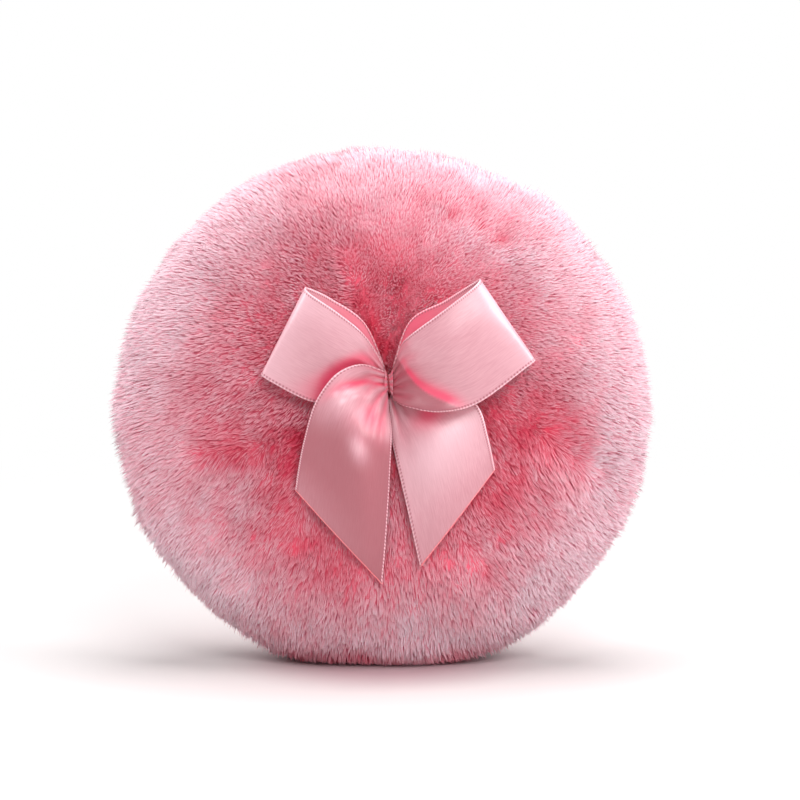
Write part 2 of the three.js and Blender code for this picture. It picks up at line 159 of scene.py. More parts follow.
def face_outward(piece):
    """Turns all faces outward and joins corners that lie on one another."""
    shape = bmesh.new()
    shape.from_mesh(piece.data)
    bmesh.ops.remove_doubles(shape, verts=shape.verts, dist=1e-7)
    bmesh.ops.dissolve_degenerate(shape, edges=shape.edges, dist=1e-7)
    bmesh.ops.recalc_face_normals(shape, faces=shape.faces)
    shape.to_mesh(piece.data)
    shape.free()


def drilled(piece, diameter, from_depth, to_depth):
    """Cuts a round hole along the disc's axis at the bow's place, between two depths of the front side."""
    drill_sides = 24
    ring = np.arange(drill_sides) * 2 * math.pi / drill_sides
    points = []
    for depth in (from_depth, to_depth):
        for angle in ring:
            across = bow_across + diameter / 2 * math.cos(angle)
            up = bow_above + diameter / 2 * math.sin(angle)
            points.append((across, -depth, up))
    faces = [tuple(range(drill_sides)), tuple(range(2 * drill_sides - 1, drill_sides - 1, -1))]
    for side in range(drill_sides):
        after = (side + 1) % drill_sides
        faces.append((side, side + drill_sides, after + drill_sides, after))
    drill = piece_from("drill", points, faces, smooth=False)
    face_outward(drill)
    cut = piece.modifiers.new("hole", "BOOLEAN")
    cut.operation = "DIFFERENCE"
    cut.object = drill
    graph = bpy.context.evaluated_depsgraph_get()
    piece.data = bpy.data.meshes.new_from_object(piece.evaluated_get(graph))
    piece.modifiers.clear()
    bpy.data.objects.remove(drill)


def dyed(red, green, blue):
    """A colour given as it looks, in steps of 255, as the light that it reflects."""
    def reflects(step):
        share = step / 255
        return share / 12.92 if share <= 0.04045 else ((share + 0.055) / 1.055) ** 2.4
    return (reflects(red), reflects(green), reflects(blue), 1)


def finish(name):
    """An empty material, with its node tree and its surface shader."""
    material = bpy.data.materials.new(name)
    material.use_nodes = True
    return material, material.node_tree, material.node_tree.nodes["Principled BSDF"]


def wire(tree, node, settings):
    """Sets sockets of a node to plain values, or joins them to the sockets of other nodes."""
    for socket, value in settings.items():
        if isinstance(value, bpy.types.NodeSocket):
            tree.links.new(value, node.inputs[socket])
        else:
            node.inputs[socket].default_value = value


def add_node(tree, kind, settings):
    """A new node of one kind, with its sockets set."""
    node = tree.nodes.new(kind)
    wire(tree, node, settings)
    return node


def worked_out(tree, operation, *values):
    """The result of one step of arithmetic on values or sockets."""
    node = tree.nodes.new("ShaderNodeMath")
    node.operation = operation
    wire(tree, node, dict(enumerate(values)))
    return node.outputs[0]


def place_on_piece(tree):
    """Where a point of the surface lies on its piece."""
    return tree.nodes.new("ShaderNodeTexCoord").outputs["Object"]


def grain(tree, scale, detail=2.0, distortion=0.0):
    """Fine unevenness, as noise that lies fixed on the piece."""
    place = place_on_piece(tree)
    settings = {"Vector": place, "Scale": scale, "Detail": detail, "Distortion": distortion}
    return add_node(tree, "ShaderNodeTexNoise", settings).outputs[0]


def raised(tree, height, strength, distance):
    """The fine relief that a height gives to a surface."""
    settings = {"Height": height, "Strength": strength, "Distance": distance}
    return add_node(tree, "ShaderNodeBump", settings).outputs[0]


def blend_of(tree, source, *stops):
    """A colour ramp through the stops, each a place and a colour."""
    ramp = add_node(tree, "ShaderNodeValToRGB", {0: source})
    bands = ramp.color_ramp.elements
    while len(bands) < len(stops):
        bands.new(0.5)
    for band, (place, colour) in zip(bands, stops):
        band.position = place
        band.color = colour
    return ramp.outputs[0]


def knot_front():
    """How deep the anchor thread's knot begins: just behind the front ground."""
    inner_radius = ground_radius - ground_thickness
    inner_depth = ground_depth - ground_thickness
    return float(face_depth(math.hypot(bow_across, bow_above), inner_radius, inner_depth)) - gap


def make_stuffing():
    """The wad: a rounded cushion with a cut-off edge and a pocket for the anchor thread's knot."""
    radius = ground_radius - ground_thickness - gap
    depth = ground_depth - ground_thickness - gap
    edge = allowance_radius - gap
    lump_height = 0.28
    ring_count = 26
    distances = edge * np.sin(np.linspace(0.02, math.pi / 2, ring_count))
    front = np.column_stack([distances, -face_depth(distances, radius, depth)])
    back = np.column_stack([distances, face_depth(distances, radius, depth)])[::-1]
    points, faces = turned(np.vstack([front, back]), sides=120)
    lumps = np.clip(swell(points, 5.5, 11) + 0.6 * swell(points, 2.4, 12), -2, 2) / 2
    inward = 1 - lump_height * (1 + lumps[:, None]) / 2 / np.array([radius, depth, radius])
    wad = piece_from("stuffing_wad", points * inward, faces)
    face_outward(wad)
    drilled(wad, knot_diameter + 2 * gap, puff_half_depth, knot_front() - knot_diameter - gap)
    return wad


def fibre_wad_finish():
    material, tree, shader = finish("stuffing_fibre")
    tangle = grain(tree, 900, 6, 2.5)
    wire(tree, shader, {
        "Base Color": blend_of(tree, tangle, (0.3, dyed(225, 221, 214)), (0.7, dyed(250, 248, 244))),
        "Normal": raised(tree, tangle, 0.8, 0.0004),
        "Roughness": 0.95,
        "Sheen Weight": 0.3,
    })
    return material


stuffing_wad = make_stuffing()
stuffing_wad.data.materials.append(fibre_wad_finish())
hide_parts("filling")
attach(stuffing_wad, "root")

# Knitted grounds
# The cloth that carries the pile: two round cuts of pink weft knit, front and rear, 81 mm across, stretched
# over the stuffing. Each cut's edge turns in as the seam allowance, with a groove for the seam's thread.
seam_thread_diameter = 0.4
seam_inset = 1.7
seam_radius = ground_radius - seam_inset


def dome(first_step, step_count):
    """Distance from the axis and depth of a rounded face, as shares of both, from its middle to its rim."""
    angles = math.pi / 2 * (1 - np.linspace(first_step, 1, step_count))
    return np.abs(np.cos(angles)) ** rim_round, np.abs(np.sin(angles)) ** rim_round


def ground_profile():
    """Half a section of one ground: its dome, its turned-in edge with the groove, and its inside."""
    inner_radius = ground_radius - ground_thickness
    inner_depth = ground_depth - ground_thickness
    half_gap = gap / 2
    groove = seam_thread_diameter / 2 + gap
    hem = half_gap + ground_thickness
    swing, rise = dome(0.012, 40)
    outer = np.column_stack([ground_radius * swing, np.maximum(ground_depth * rise, half_gap)])
    turned_in = [
        (seam_radius + groove, half_gap),
        (seam_radius + groove, groove),
        (seam_radius - groove, groove),
        (seam_radius - groove, half_gap),
        (allowance_radius, half_gap),
        (allowance_radius, hem),
        (face_depth(hem, inner_depth, inner_radius), hem),
    ]
    inner = np.column_stack([inner_radius * swing, inner_depth * rise])
    return np.vstack([outer, turned_in, inner[inner[:, 1] > hem][::-1]])


def make_ground(name, side):
    """One ground, in front where side is -1 and behind where it is 1."""
    points, faces = turned(ground_profile() * (1, side), sides=144)
    ground = piece_from(name, points, faces)
    face_outward(ground)
    ground.data.shade_smooth()
    return ground


def knit_finish():
    """Rows of stitches both ways, deeper pink between the loops."""
    material, tree, shader = finish("pink_knit")
    stitch_width = 0.0011
    place = place_on_piece(tree)
    rows = []
    for direction, share, distortion in (("X", 0.314, 0.6), ("Z", 0.4, 1.2)):
        settings = {"Vector": place, "Scale": share / stitch_width, "Distortion": distortion}
        wave = add_node(tree, "ShaderNodeTexWave", settings)
        wave.wave_type = "BANDS"
        wave.bands_direction = direction
        rows.append(wave.outputs["Fac"])
    loops = worked_out(tree, "MULTIPLY", *rows)
    wire(tree, shader, {
        "Base Color": blend_of(tree, loops, (0.1, dyed(158, 38, 62)), (0.9, dyed(214, 92, 116))),
        "Normal": raised(tree, loops, 0.7, 0.0002),
        "Roughness": 0.9,
        "Sheen Weight": 0.2,
    })
    return material


pink_knit = knit_finish()
front_knit = make_ground("front_knit", -1)
drilled(front_knit, anchor_thread_diameter + 2 * gap, puff_half_depth, 0)
front_knit.data.shade_smooth()
rear_knit = make_ground("rear_knit", 1)
for knit, node in ((front_knit, "front_ground"), (rear_knit, "rear_ground")):
    knit.data.materials.append(pink_knit)
    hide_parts(node)
    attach(knit, "root")

# Seam and closing stitch
# One machine seam joins the two turned-in edges just inside the rim. The last 30 mm, at the bottom, were
# left open to turn and fill the pad, and are closed by hand over both folds. Both threads are three-ply.
closing_thread_diameter = 0.5
closing_radius = ground_radius + gap + closing_thread_diameter / 2
closing_length = 30.0
closing_half_angle = closing_length / closing_radius / 2
closing_width = 1.6
closing_stitches = 9


def headings(line):
    """The way that a line of points runs at each of them."""
    last = len(line) - 1
    return [(line[min(i + 1, last)] - line[max(i - 1, 0)]).normalized() for i in range(len(line))]


def sleeve_faces(ring_count, sides):
    """Faces of a sleeve round rings of points, closed at both ends."""
    faces = []
    for ring in range(ring_count - 1):
        for side in range(sides):
            after = (side + 1) % sides
            base = ring * sides
            faces.append((base + side, base + after, base + sides + after, base + sides + side))
    faces.append(tuple(range(sides - 1, -1, -1)))
    faces.append(tuple(range((ring_count - 1) * sides, ring_count * sides)))
    return faces


def tube(middle_line, radius, sides):
    """Points and faces of a closed tube along a line of points, its frame carried from point to point."""
    line = [Vector(point) for point in middle_line]
    heading = headings(line)
    outward = heading[0].orthogonal().normalized()
    points = []
    for here, ahead in zip(line, heading):
        outward = (outward - ahead * outward.dot(ahead)).normalized()
        aside = ahead.cross(outward)
        for side in range(sides):
            angle = 2 * math.pi * side / sides
            points.append(tuple(here + radius * (outward * math.cos(angle) + aside * math.sin(angle))))
    return points, sleeve_faces(len(line), sides)


def together(shapes):
    """Points and faces of several shapes as those of one."""
    points = []
    faces = []
    for more_points, more_faces in shapes:
        faces.extend(tuple(corner + len(points) for corner in face) for face in more_faces)
        points.extend(more_points)
    return points, faces


def twisted(middle_line, diameter, plies, twist_length):
    """Points and faces of a thread of several plies twisted round a middle line."""
    line = [Vector(point) for point in middle_line]
    # A ply's share of the thread's width, where three or two plies lie side by side in it.
    share_of_ply = 0.464 if plies == 3 else 0.5
    ply_radius = diameter / 2 * share_of_ply
    lay_radius = diameter / 2 - ply_radius
    heading = headings(line)
    strands = []
    for ply in range(plies):
        outward = heading[0].orthogonal().normalized()
        travelled = 0.0
        path = []
        for i, here in enumerate(line):
            if i:
                travelled += (here - line[i - 1]).length
            outward = (outward - heading[i] * outward.dot(heading[i])).normalized()
            angle = 2 * math.pi * (travelled / twist_length + ply / plies)
            aside = heading[i].cross(outward)
            path.append(here + lay_radius * (outward * math.cos(angle) + aside * math.sin(angle)))
        strands.append(tube(path, ply_radius, sides=6))
    return together(strands)


def round_the_rim(radius, from_angle, to_angle, steps, sway_width=0.0, sways=0.0):
    """Points round the rim, counted from its lowest point, that may sway from fold to fold."""
    share = np.linspace(0, 1, steps)
    angle = from_angle + (to_angle - from_angle) * share
    sway = sway_width / 2 * np.sin(2 * math.pi * sways * share)
    return np.column_stack([radius * np.sin(angle), sway, -radius * np.cos(angle)])


def sewing_thread_finish(name, deep, light):
    material, tree, shader = finish(name)
    fibres = grain(tree, 4000, 4)
    wire(tree, shader, {
        "Base Color": blend_of(tree, fibres, (0.35, deep), (0.7, light)),
        "Normal": raised(tree, fibres, 0.5, 0.00005),
        "Roughness": 0.6,
        "Sheen Weight": 0.25,
    })
    return material


sewing_thread = sewing_thread_finish("sewing_thread", dyed(150, 36, 56), dyed(205, 84, 104))
seam_line = round_the_rim(seam_radius, closing_half_angle, 2 * math.pi - closing_half_angle, steps=1500)
seam_thread = twisted(seam_line, seam_thread_diameter, plies=3, twist_length=1.3)
seam_stitching = piece_from("seam_stitching", *seam_thread)
closing_line = round_the_rim(
    closing_radius, -closing_half_angle, closing_half_angle, steps=260,
    sway_width=closing_width, sways=closing_stitches / 2,
)
closing_thread = twisted(closing_line, closing_thread_diameter, plies=3, twist_length=1.5)
closing_whipstitch = piece_from("closing_whipstitch", *closing_thread)
for stitching, node in ((seam_stitching, "seam_thread"), (closing_whipstitch, "closing_stitch")):
    stitching.data.materials.append(sewing_thread)
    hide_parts(node)
    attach(stitching, "root")

# Plush pile
# Dense pink pile knitted into both grounds, 9 mm long. Its lower part is so close that it shows as one soft
# bed. Above the bed stand the strands, each a twist of a few fibres, leaning together in small locks that
# swirl and part where hands have pressed them.
strand_count = 224000
strand_radius = 0.072
lock_spacing = 0.7
sector_count = 10
bed_share = 0.85
strand_root_share = 0.76
tuft_depth = 3.0
tuft_radius = 12.0
tuft_edge_rise = 0.5
# Places along a strand, from its root to its tip, and how thick it is at each but the tip, which is a point.
strand_shares = (0, 0.42, 0.76, 1.0)
strand_taper = (0.8, 1.0, 0.8)
# Paleness of the plain pile, the painted rim light that the rim adds to it, and the painted shade that the
# bow's place and the floor take from it.
plain_paleness = 0.51
painted_rim_light = 0.33
painted_shade_at_bow = 0.2
painted_shade_at_floor = 0.5
# How ruffled the plain pile is, what the seam adds, and what stroking takes away.
plain_ruffle = 0.62
ruffled_at_seam = 0.2
smoothed_by_hand = 0.34


def tuft_surface(share):
    """Depth of the hollow that the bow's stitch draws into the pile, at a share of the hollow's radius."""
    face = face_depth(math.hypot(bow_across, bow_above), puff_radius, puff_half_depth)
    return face - tuft_depth * (1 - share ** 2) ** 2 + tuft_edge_rise * share ** 2


def pile_depth(across, up):
    """Depth of the front pile's face over the disc's middle plane."""
    crown = face_depth(np.hypot(across, up), puff_radius, puff_half_depth)
    share = np.hypot(across - bow_across, up - bow_above) / tuft_radius
    hollow = tuft_surface(np.minimum(share, 1))
    blend = 0.9
    return (crown + hollow - np.sqrt((crown - hollow) ** 2 + blend ** 2)) / 2


def round_form(turn, radius, depth):
    """Distance from the axis and depth of the rounded form, from the front pole, at 0, to the rear at pi."""
    swing = radius * np.abs(np.sin(turn)) ** rim_round
    rise = -depth * np.sign(np.cos(turn)) * np.abs(np.cos(turn)) ** rim_round
    return swing, rise


def spread_over_form(count, radius, depth):
    """Turn from the front pole and angle round the axis of places spread evenly over the rounded form."""
    turn_count = 6001
    turns = np.linspace(0, math.pi, turn_count)
    swing, rise = round_form(turns, radius, depth)
    widths = np.hypot(np.diff(swing), np.diff(rise))
    band = widths * (swing[1:] + swing[:-1]) / 2
    area = np.concatenate([[0], np.cumsum(band)])
    wanted = (np.arange(count) + 0.5) / count * area[-1]
    golden_angle = math.pi * (3 - math.sqrt(5))
    return np.interp(wanted, area, turns), np.arange(count) * golden_angle


def on_form(turn, angle, radius, depth):
    """Places on the rounded form."""
    swing, rise = round_form(turn, radius, depth)
    return np.column_stack([swing * np.sin(angle), rise, swing * np.cos(angle)])


def unit(vectors):
    """The same ways, each one long."""
    return vectors / np.maximum(np.linalg.norm(vectors, axis=-1, keepdims=True), 1e-9)


def smooth_step(low, high, values):
    """A soft rise from 0 at the low value to 1 at the high one, or a fall where low is the greater."""
    share = np.clip((values - low) / (high - low), 0, 1)
    return share * share * (3 - 2 * share)


# Where hands have parted the pile of the front face: each parting runs from one place to another and has a
# reach to either side. The pile lies away from it, and it sinks in a little.
partings = [
    ((11.0, 32.5), (22.5, 28.0), 3.0, 0.35),
    ((-6.0, 27.0), (-1.5, 12.5), 3.0, 1.0),
    ((-30.0, -7.0), (-21.5, -6.0), 3.6, 1.3),
    ((28.0, -4.0), (36.0, -10.5), 5.0, 1.5),
    ((14.0, -22.0), (20.0, -31.0), 3.0, 0.9),
    ((-12.0, -6.0), (-15.0, -22.0), 2.4, 0.8),
]


def beside_partings(tips):
    """How each tip lies away from the partings near it, and how deep it sinks there."""
    depth_at_full_strength = 0.32
    push = np.zeros_like(tips)
    sink = np.zeros(len(tips))
    in_front = tips[:, 1] < 0
    for start, end, reach, strength in partings:
        line_start = np.array(start)
        line = np.array(end) - line_start
        face_place = tips[:, [0, 2]]
        share = np.clip(((face_place - line_start) @ line) / (line @ line), 0, 1)
        away = face_place - (line_start + share[:, None] * line)
        distance = np.linalg.norm(away, axis=1)
        nearness = np.exp(-((distance / reach) ** 2)) * in_front
        direction = away / np.maximum(distance, 0.2)[:, None]
        side = np.minimum(distance / (0.35 * reach), 1)
        push[:, [0, 2]] += direction * (nearness * side * strength)[:, None]
        sink += nearness * strength * depth_at_full_strength
    return push, sink


# How pale the pile is from place to place: palest round the rim, in painted rim light, deep pink round the
# bow, in painted shade, and uneven between. Each patch has its middle on the front face, its reach and how
# much paler or deeper it is.
pale_patches = [
    # Pale at the upper left rim: painted rim light.
    (-42.0, 28.0, 18.0, 0.7),
    (-24.0, 20.0, 10.0, -0.14),
    (-30.0, 2.0, 8.0, -0.1),
    (-32.0, -28.0, 12.0, 0.24),
    (34.0, 24.0, 14.0, 0.25),
    (12.0, 26.0, 9.0, 0.14),
    (-1.0, 38.0, 8.0, 0.12),
    # A pale line under the crease at the top right is a painted highlight, and dark notches in the crease are
    # painted shade.
    (12.0, 31.3, 1.5, 0.25),
    (15.0, 29.8, 1.6, 0.28),
    (18.0, 28.3, 1.7, 0.3),
    (21.0, 27.0, 1.7, 0.3),
    (24.5, 26.2, 1.6, 0.25),
    (11.6, 33.4, 1.0, -0.35),
    (16.2, 31.4, 1.0, -0.35),
    (19.8, 29.4, 1.1, -0.35),
    (42.0, 2.0, 10.0, 0.3),
    (40.0, -4.0, 6.0, 0.32),
    (30.0, 8.0, 7.0, 0.1),
    (34.0, -24.0, 13.0, 0.16),
    (27.0, -31.0, 5.0, 0.33),
    (18.0, -36.0, 8.0, 0.16),
    (-25.0, -12.0, 4.5, 0.24),
    # Pale along the bottom: painted light thrown up from the floor.
    (2.0, -40.0, 9.0, 0.25),
    # Deeper right of the bow: painted shade of the bow.
    (28.0, -3.0, 8.0, -0.3),
    (20.0, -12.0, 7.0, -0.2),
    (19.0, -2.0, 4.0, -0.15),
    # Deeper in a dimple at the left, and along the left tail's edge where the tail shades the pile: painted
    # shade.
    (-26.0, -6.5, 4.0, -0.3),
    (-18.5, -20.0, 5.0, -0.18),
    (-14.5, -3.0, 2.4, -0.4),
    (-15.5, -7.5, 2.4, -0.4),
    (-17.0, -12.5, 2.6, -0.3),
    (-12.0, -21.0, 4.0, -0.25),
    (-7.0, -26.0, 4.0, -0.2),
    # Deeper along the groove above the bow: painted shade.
    (-4.0, 19.0, 1.8, -0.3),
    (-2.0, 15.5, 1.8, -0.35),
    (0.0, 12.0, 2.0, -0.35),
    (9.0, -24.0, 4.0, -0.15),
    (9.0, -30.0, 5.0, 0.1),
]


def height_over_floor(places):
    """How high places of the leaned pad are over the floor."""
    return places[..., 2] * math.cos(lean) - places[..., 1] * math.sin(lean) + puff_middle().z / millimetre


def paleness_at(places):
    """How pale the pile is at places on it, from 0, deep pink, to 1, nearly white: its own uneven tone,
    painted rim light, painted shade round the bow and near the floor, and the patches, with their painted
    light and shade.
    """
    reach = np.hypot(places[:, 0], places[:, 2]) / puff_radius
    # Paler round the rim: painted rim light.
    paleness = plain_paleness + painted_rim_light * smooth_step(0.62, 1.02, reach)
    in_front = smooth_step(4, -6, places[:, 1])
    # Deeper round the bow: painted shade, where the bow shades the pile.
    from_bow = np.hypot(places[:, 0] - bow_across, places[:, 2] * 0.8)
    paleness -= painted_shade_at_bow * np.exp(-((from_bow / 18) ** 2)) * in_front
    # Paler and deeper patches, many of them painted light and shade.
    for across, up, patch_reach, paler in pale_patches:
        from_patch = np.hypot(places[:, 0] - across, places[:, 2] - up)
        paleness += paler * np.exp(-((from_patch / patch_reach) ** 2)) * in_front
    # Deeper close to the floor: painted shade where the pile meets the floor.
    paleness -= painted_shade_at_floor * smooth_step(3.5, 0.5, height_over_floor(places))
    return paleness + 0.05 * swell(places, 16, 50) + 0.05 * swell(places, 5, 51)


def ruffled_at(places):
    """How ruffled the pile is: most over the seam, and least on top and at the left, where it was stroked."""
    stroked = smooth_step(8, 28, places[:, 2] + 0.35 * places[:, 0])
    stroked = np.maximum(stroked, smooth_step(-27, -39, places[:, 0]))
    on_seam = smooth_step(6, 1, np.abs(places[:, 1]))
    stroked = stroked * smooth_step(3, -5, places[:, 1])
    return plain_ruffle + ruffled_at_seam * on_seam - smoothed_by_hand * stroked


def relief(places):
    """How far the pile stands out: full over the faces, in soft lumps, and sunk in along the partings."""
    lumps = 0.2 * swell(places, 15, 71) + 0.1 * swell(places, 6, 72)
    reach = np.hypot(places[:, 0], places[:, 2]) / puff_radius
    fullness = 0.5 * smooth_step(1.02, 0.84, reach)
    return fullness + lumps - beside_partings(places)[1]


def slope_of_relief(places):
    """The way that the relief rises, as a vector in each place."""
    step = 0.4
    here = relief(places)
    return np.stack([(relief(places + step * way) - here) / step for way in np.eye(3)], axis=1)


def worn_short(places):
    """How much shorter the pile is round the rim, and most of all on top, where it is held and pressed."""
    reach = np.hypot(places[:, 0], places[:, 2])
    on_rim = smooth_step(0.5, 1, reach / puff_radius)
    on_top = smooth_step(0.8, 1, places[:, 2] / np.maximum(reach, 1))
    return on_rim * (0.45 + 0.7 * on_top)


def drawn_in(places, share):
    """Places of the front pile, drawn towards the hollow that the bow's stitch makes."""
    crown = face_depth(np.hypot(places[..., 0], places[..., 2]), puff_radius, puff_half_depth)
    hollow = np.minimum(crown - pile_depth(places[..., 0], places[..., 2]), 4)
    places[..., 1] += hollow * share * (places[..., 1] < 0)
    return places


def pressed_on_floor(places):
    """Places of the pile, those that reach the floor bent flat along it."""
    height = height_over_floor(places)
    give = 1.2
    pressed = np.where(height < give, give * np.exp(np.minimum(height - give, 0) / give), height)
    lift = np.maximum(pressed, strand_radius + 0.02) - height
    places[..., 2] += lift * math.cos(lean)
    places[..., 1] -= lift * math.sin(lean)
    return places


def corner_order(mesh):
    """The number of the point at each corner of each face."""
    order = np.zeros(len(mesh.loops), dtype=np.int32)
    mesh.loops.foreach_get("vertex_index", order)
    return order


def draw_map(mesh, name, first, second):
    """A map over the corners of a piece's faces that holds two values at each."""
    values = np.column_stack([first, second]).astype(np.float32)
    mesh.uv_layers.new(name=name).uv.foreach_set("vector", values.reshape(-1))


def make_bed(name, side):
    """The close lower part of one disc's pile: a thick bowl over the ground, with a softly lumpy skin."""
    # The beds of both discs all but meet, so that no line shows where the pile of one runs into the other's.
    half_gap = 0.01
    channel_radius = closing_radius + closing_thread_diameter / 2 + gap
    channel_depth = closing_width / 2 + closing_thread_diameter / 2 + gap
    swing, rise = dome(0.008, 70)
    bed_radius = ground_radius + (puff_radius - ground_radius) * bed_share
    bed_depth = ground_depth + (puff_half_depth - ground_depth) * bed_share
    outer = np.column_stack([bed_radius * swing, np.maximum(bed_depth * rise, half_gap)])
    inner_radius = ground_radius + gap
    inner_depth = ground_depth + gap
    inner = np.column_stack([inner_radius * swing, inner_depth * rise])
    channel = [
        (channel_radius, half_gap),
        (channel_radius, channel_depth),
        (face_depth(channel_depth, inner_depth, inner_radius), channel_depth),
    ]
    profile = np.vstack([outer, channel, inner[inner[:, 1] > channel_depth][::-1]])
    sides = 260
    points, faces = turned(profile * (1, side), sides)
    on_skin = np.tile(np.arange(len(profile)) < len(outer), sides)
    outward = unit(points / (bed_radius ** 2, bed_depth ** 2, bed_radius ** 2))
    lumps = 0.1 * swell(points, 3.2, 61) + 0.08 * swell(points, 1.5, 62)
    lumps *= on_skin * smooth_step(0.2, 2, np.abs(points[:, 1]))
    points = points + outward * lumps[:, None]
    # Along the seam the bed lies lower, so that the strands that cross it stand in front.
    sunk = worn_short(points) + 0.45 * smooth_step(7, 3, np.abs(points[:, 1]))
    points = points + outward * ((relief(points) - sunk) * on_skin)[:, None]
    if side < 0:
        points = drawn_in(points, on_skin)
    bed = piece_from(name, pressed_on_floor(points), faces)
    face_outward(bed)
    if side < 0:
        drilled(bed, anchor_thread_diameter + 2 * gap, puff_half_depth + 2, 0)
    bed.data.shade_smooth()
    corners = np.zeros(len(bed.data.vertices) * 3)
    bed.data.vertices.foreach_get("co", corners)
    corners = (corners.reshape(-1, 3) - np.array(puff_middle())) / millimetre
    # The paleness map carries the pile's uneven tone together with its painted rim light and painted shade.
    paleness = np.clip(paleness_at(corners), 0, 1)[corner_order(bed.data)]
    draw_map(bed.data, "paleness", paleness, np.full(len(paleness), 0.5))
    return bed


def scattered(draw, count, turn_scatter, angle_scatter):
    """Turn, angle and place of points spread over the pile's face, each a little off its even place."""
    turn, angle = spread_over_form(count, puff_radius, puff_half_depth)
    turn = np.clip(turn + draw.normal(0, turn_scatter, count), 0.002, math.pi - 0.002)
    angle = angle + draw.normal(0, angle_scatter, count) / np.maximum(puff_radius * np.sin(turn), 2)
    return turn, angle, on_form(turn, angle, puff_radius, puff_half_depth)


def along_surface(ways, outward):
    """What each way has along the surface that faces outward there."""
    return ways - outward * np.sum(ways * outward, axis=1, keepdims=True)


def lay_strands():
    """Middle lines of all strands, four points each, with the paleness, angle and turn of each strand."""
    draw = np.random.default_rng(90)
    turn, angle, tips = scattered(draw, strand_count, 0.004, 0.15)
    knit = on_form(turn, angle, ground_radius, ground_depth)
    roots = knit + (tips - knit) * strand_root_share
    growth = unit(tips - knit)

    # Locks: every strand leans a little to the middle of the lock it belongs to. The area is in square mm.
    form_area = 17300
    lock_count = int(form_area / lock_spacing ** 2)
    lock_tips = scattered(draw, lock_count, 0.008, 0.25)[2]
    tree = KDTree(lock_count)
    for index, place in enumerate(lock_tips):
        tree.insert(place, index)
    tree.balance()
    lock_of = np.array([tree.find(place)[1] for place in tips])

    # Each lock leans its own way over the broad swirls, and stands a little longer or shorter.
    ruffled = ruffled_at(lock_tips)
    lean_of_lock = np.zeros((lock_count, 3))
    for axis in range(3):
        for amount, spacing, seed in ((0.16, 24, 20), (0.16, 8, 30), (0.2, 2.6, 35)):
            lean_of_lock[:, axis] += ruffled * amount * swell(lock_tips, spacing, seed + axis)
        lean_of_lock[:, axis] += ruffled * draw.normal(0, 0.18, lock_count)
    height_of_lock = ruffled * (0.1 * swell(lock_tips, 5, 40) + draw.normal(0, 0.09, lock_count))
    lock_pull = ruffled * np.clip(0.4 + 0.15 * swell(lock_tips, 12, 41), 0.2, 0.7)

    # The pile is combed outward and down, most of all on top. At the rim it also lies round the puff, and its
    # strands lean over the seam both ways.
    outward = unit(np.column_stack([tips[:, 0], np.zeros(strand_count), tips[:, 2]]))
    comb = 0.8 * np.sin(turn)[:, None] * outward + (0, 0, -0.75)
    comb[:, 2] -= 0.45 * np.sin(turn) * np.maximum(outward[:, 2], 0)
    on_rim = smooth_step(0.86, 1, np.sin(turn))
    along_rim = np.column_stack([-outward[:, 2], np.zeros(strand_count), outward[:, 0]])
    comb += 0.5 * on_rim[:, None] * along_rim
    sway = along_surface(lean_of_lock[lock_of] + comb + beside_partings(tips)[0], growth)
    own = draw.normal(0, 0.12, (strand_count, 3))
    own[:, 1] += draw.normal(0, 0.5, strand_count) * on_rim
    gather = along_surface((lock_tips[lock_of] - tips) * lock_pull[lock_of][:, None], growth)

    # Some strands stray out of the pile, most of them at the sides and below.
    length = height_of_lock[lock_of] + draw.normal(0, 0.12, strand_count)
    at_the_sides = smooth_step(0.7, 1, np.maximum(np.abs(tips[:, 0]), -tips[:, 2]) / puff_radius)
    stray = (draw.random(strand_count) < 0.16 + 0.24 * at_the_sides) * draw.random(strand_count)
    length += (0.5 + 0.8 * at_the_sides) * stray * np.sin(turn)
    standing_out = relief(tips) - worn_short(tips)

    lines = np.zeros((strand_count, len(strand_shares), 3))
    for step, share in enumerate(strand_shares):
        lines[:, step] = roots + (tips - roots) * share
        lines[:, step] += sway * (0.15 + 0.85 * share ** 1.6)
        lines[:, step] += (gather + own) * share
        lines[:, step] += growth * (length * share + standing_out)[:, None]
    lines = drawn_in(lines, 1)
    furthest_back = puff_half_depth + 0.4
    lines[..., 1] = np.minimum(lines[..., 1], furthest_back)
    lines = pressed_on_floor(lines)

    # Each strand's paleness holds its painted rim light and painted shade as well as its own tone.
    paleness = paleness_at(tips)
    paleness += (ruffled * draw.normal(0.01, 0.1, lock_count))[lock_of]
    paleness += draw.normal(0, 0.04, strand_count)

    # The nap shines where it lies across the light, so the lumps and its own lean shade each strand.
    form = unit(tips / (puff_radius ** 2, puff_half_depth ** 2, puff_radius ** 2))
    nap = along_surface(lines[:, 3] - lines[:, 0], form)
    slope = along_surface(slope_of_relief(tips), form)
    facing = unit(form - 0.18 * nap - 0.9 * slope)
    return lines, np.clip(paleness, 0.02, 0.98), facing, angle, turn


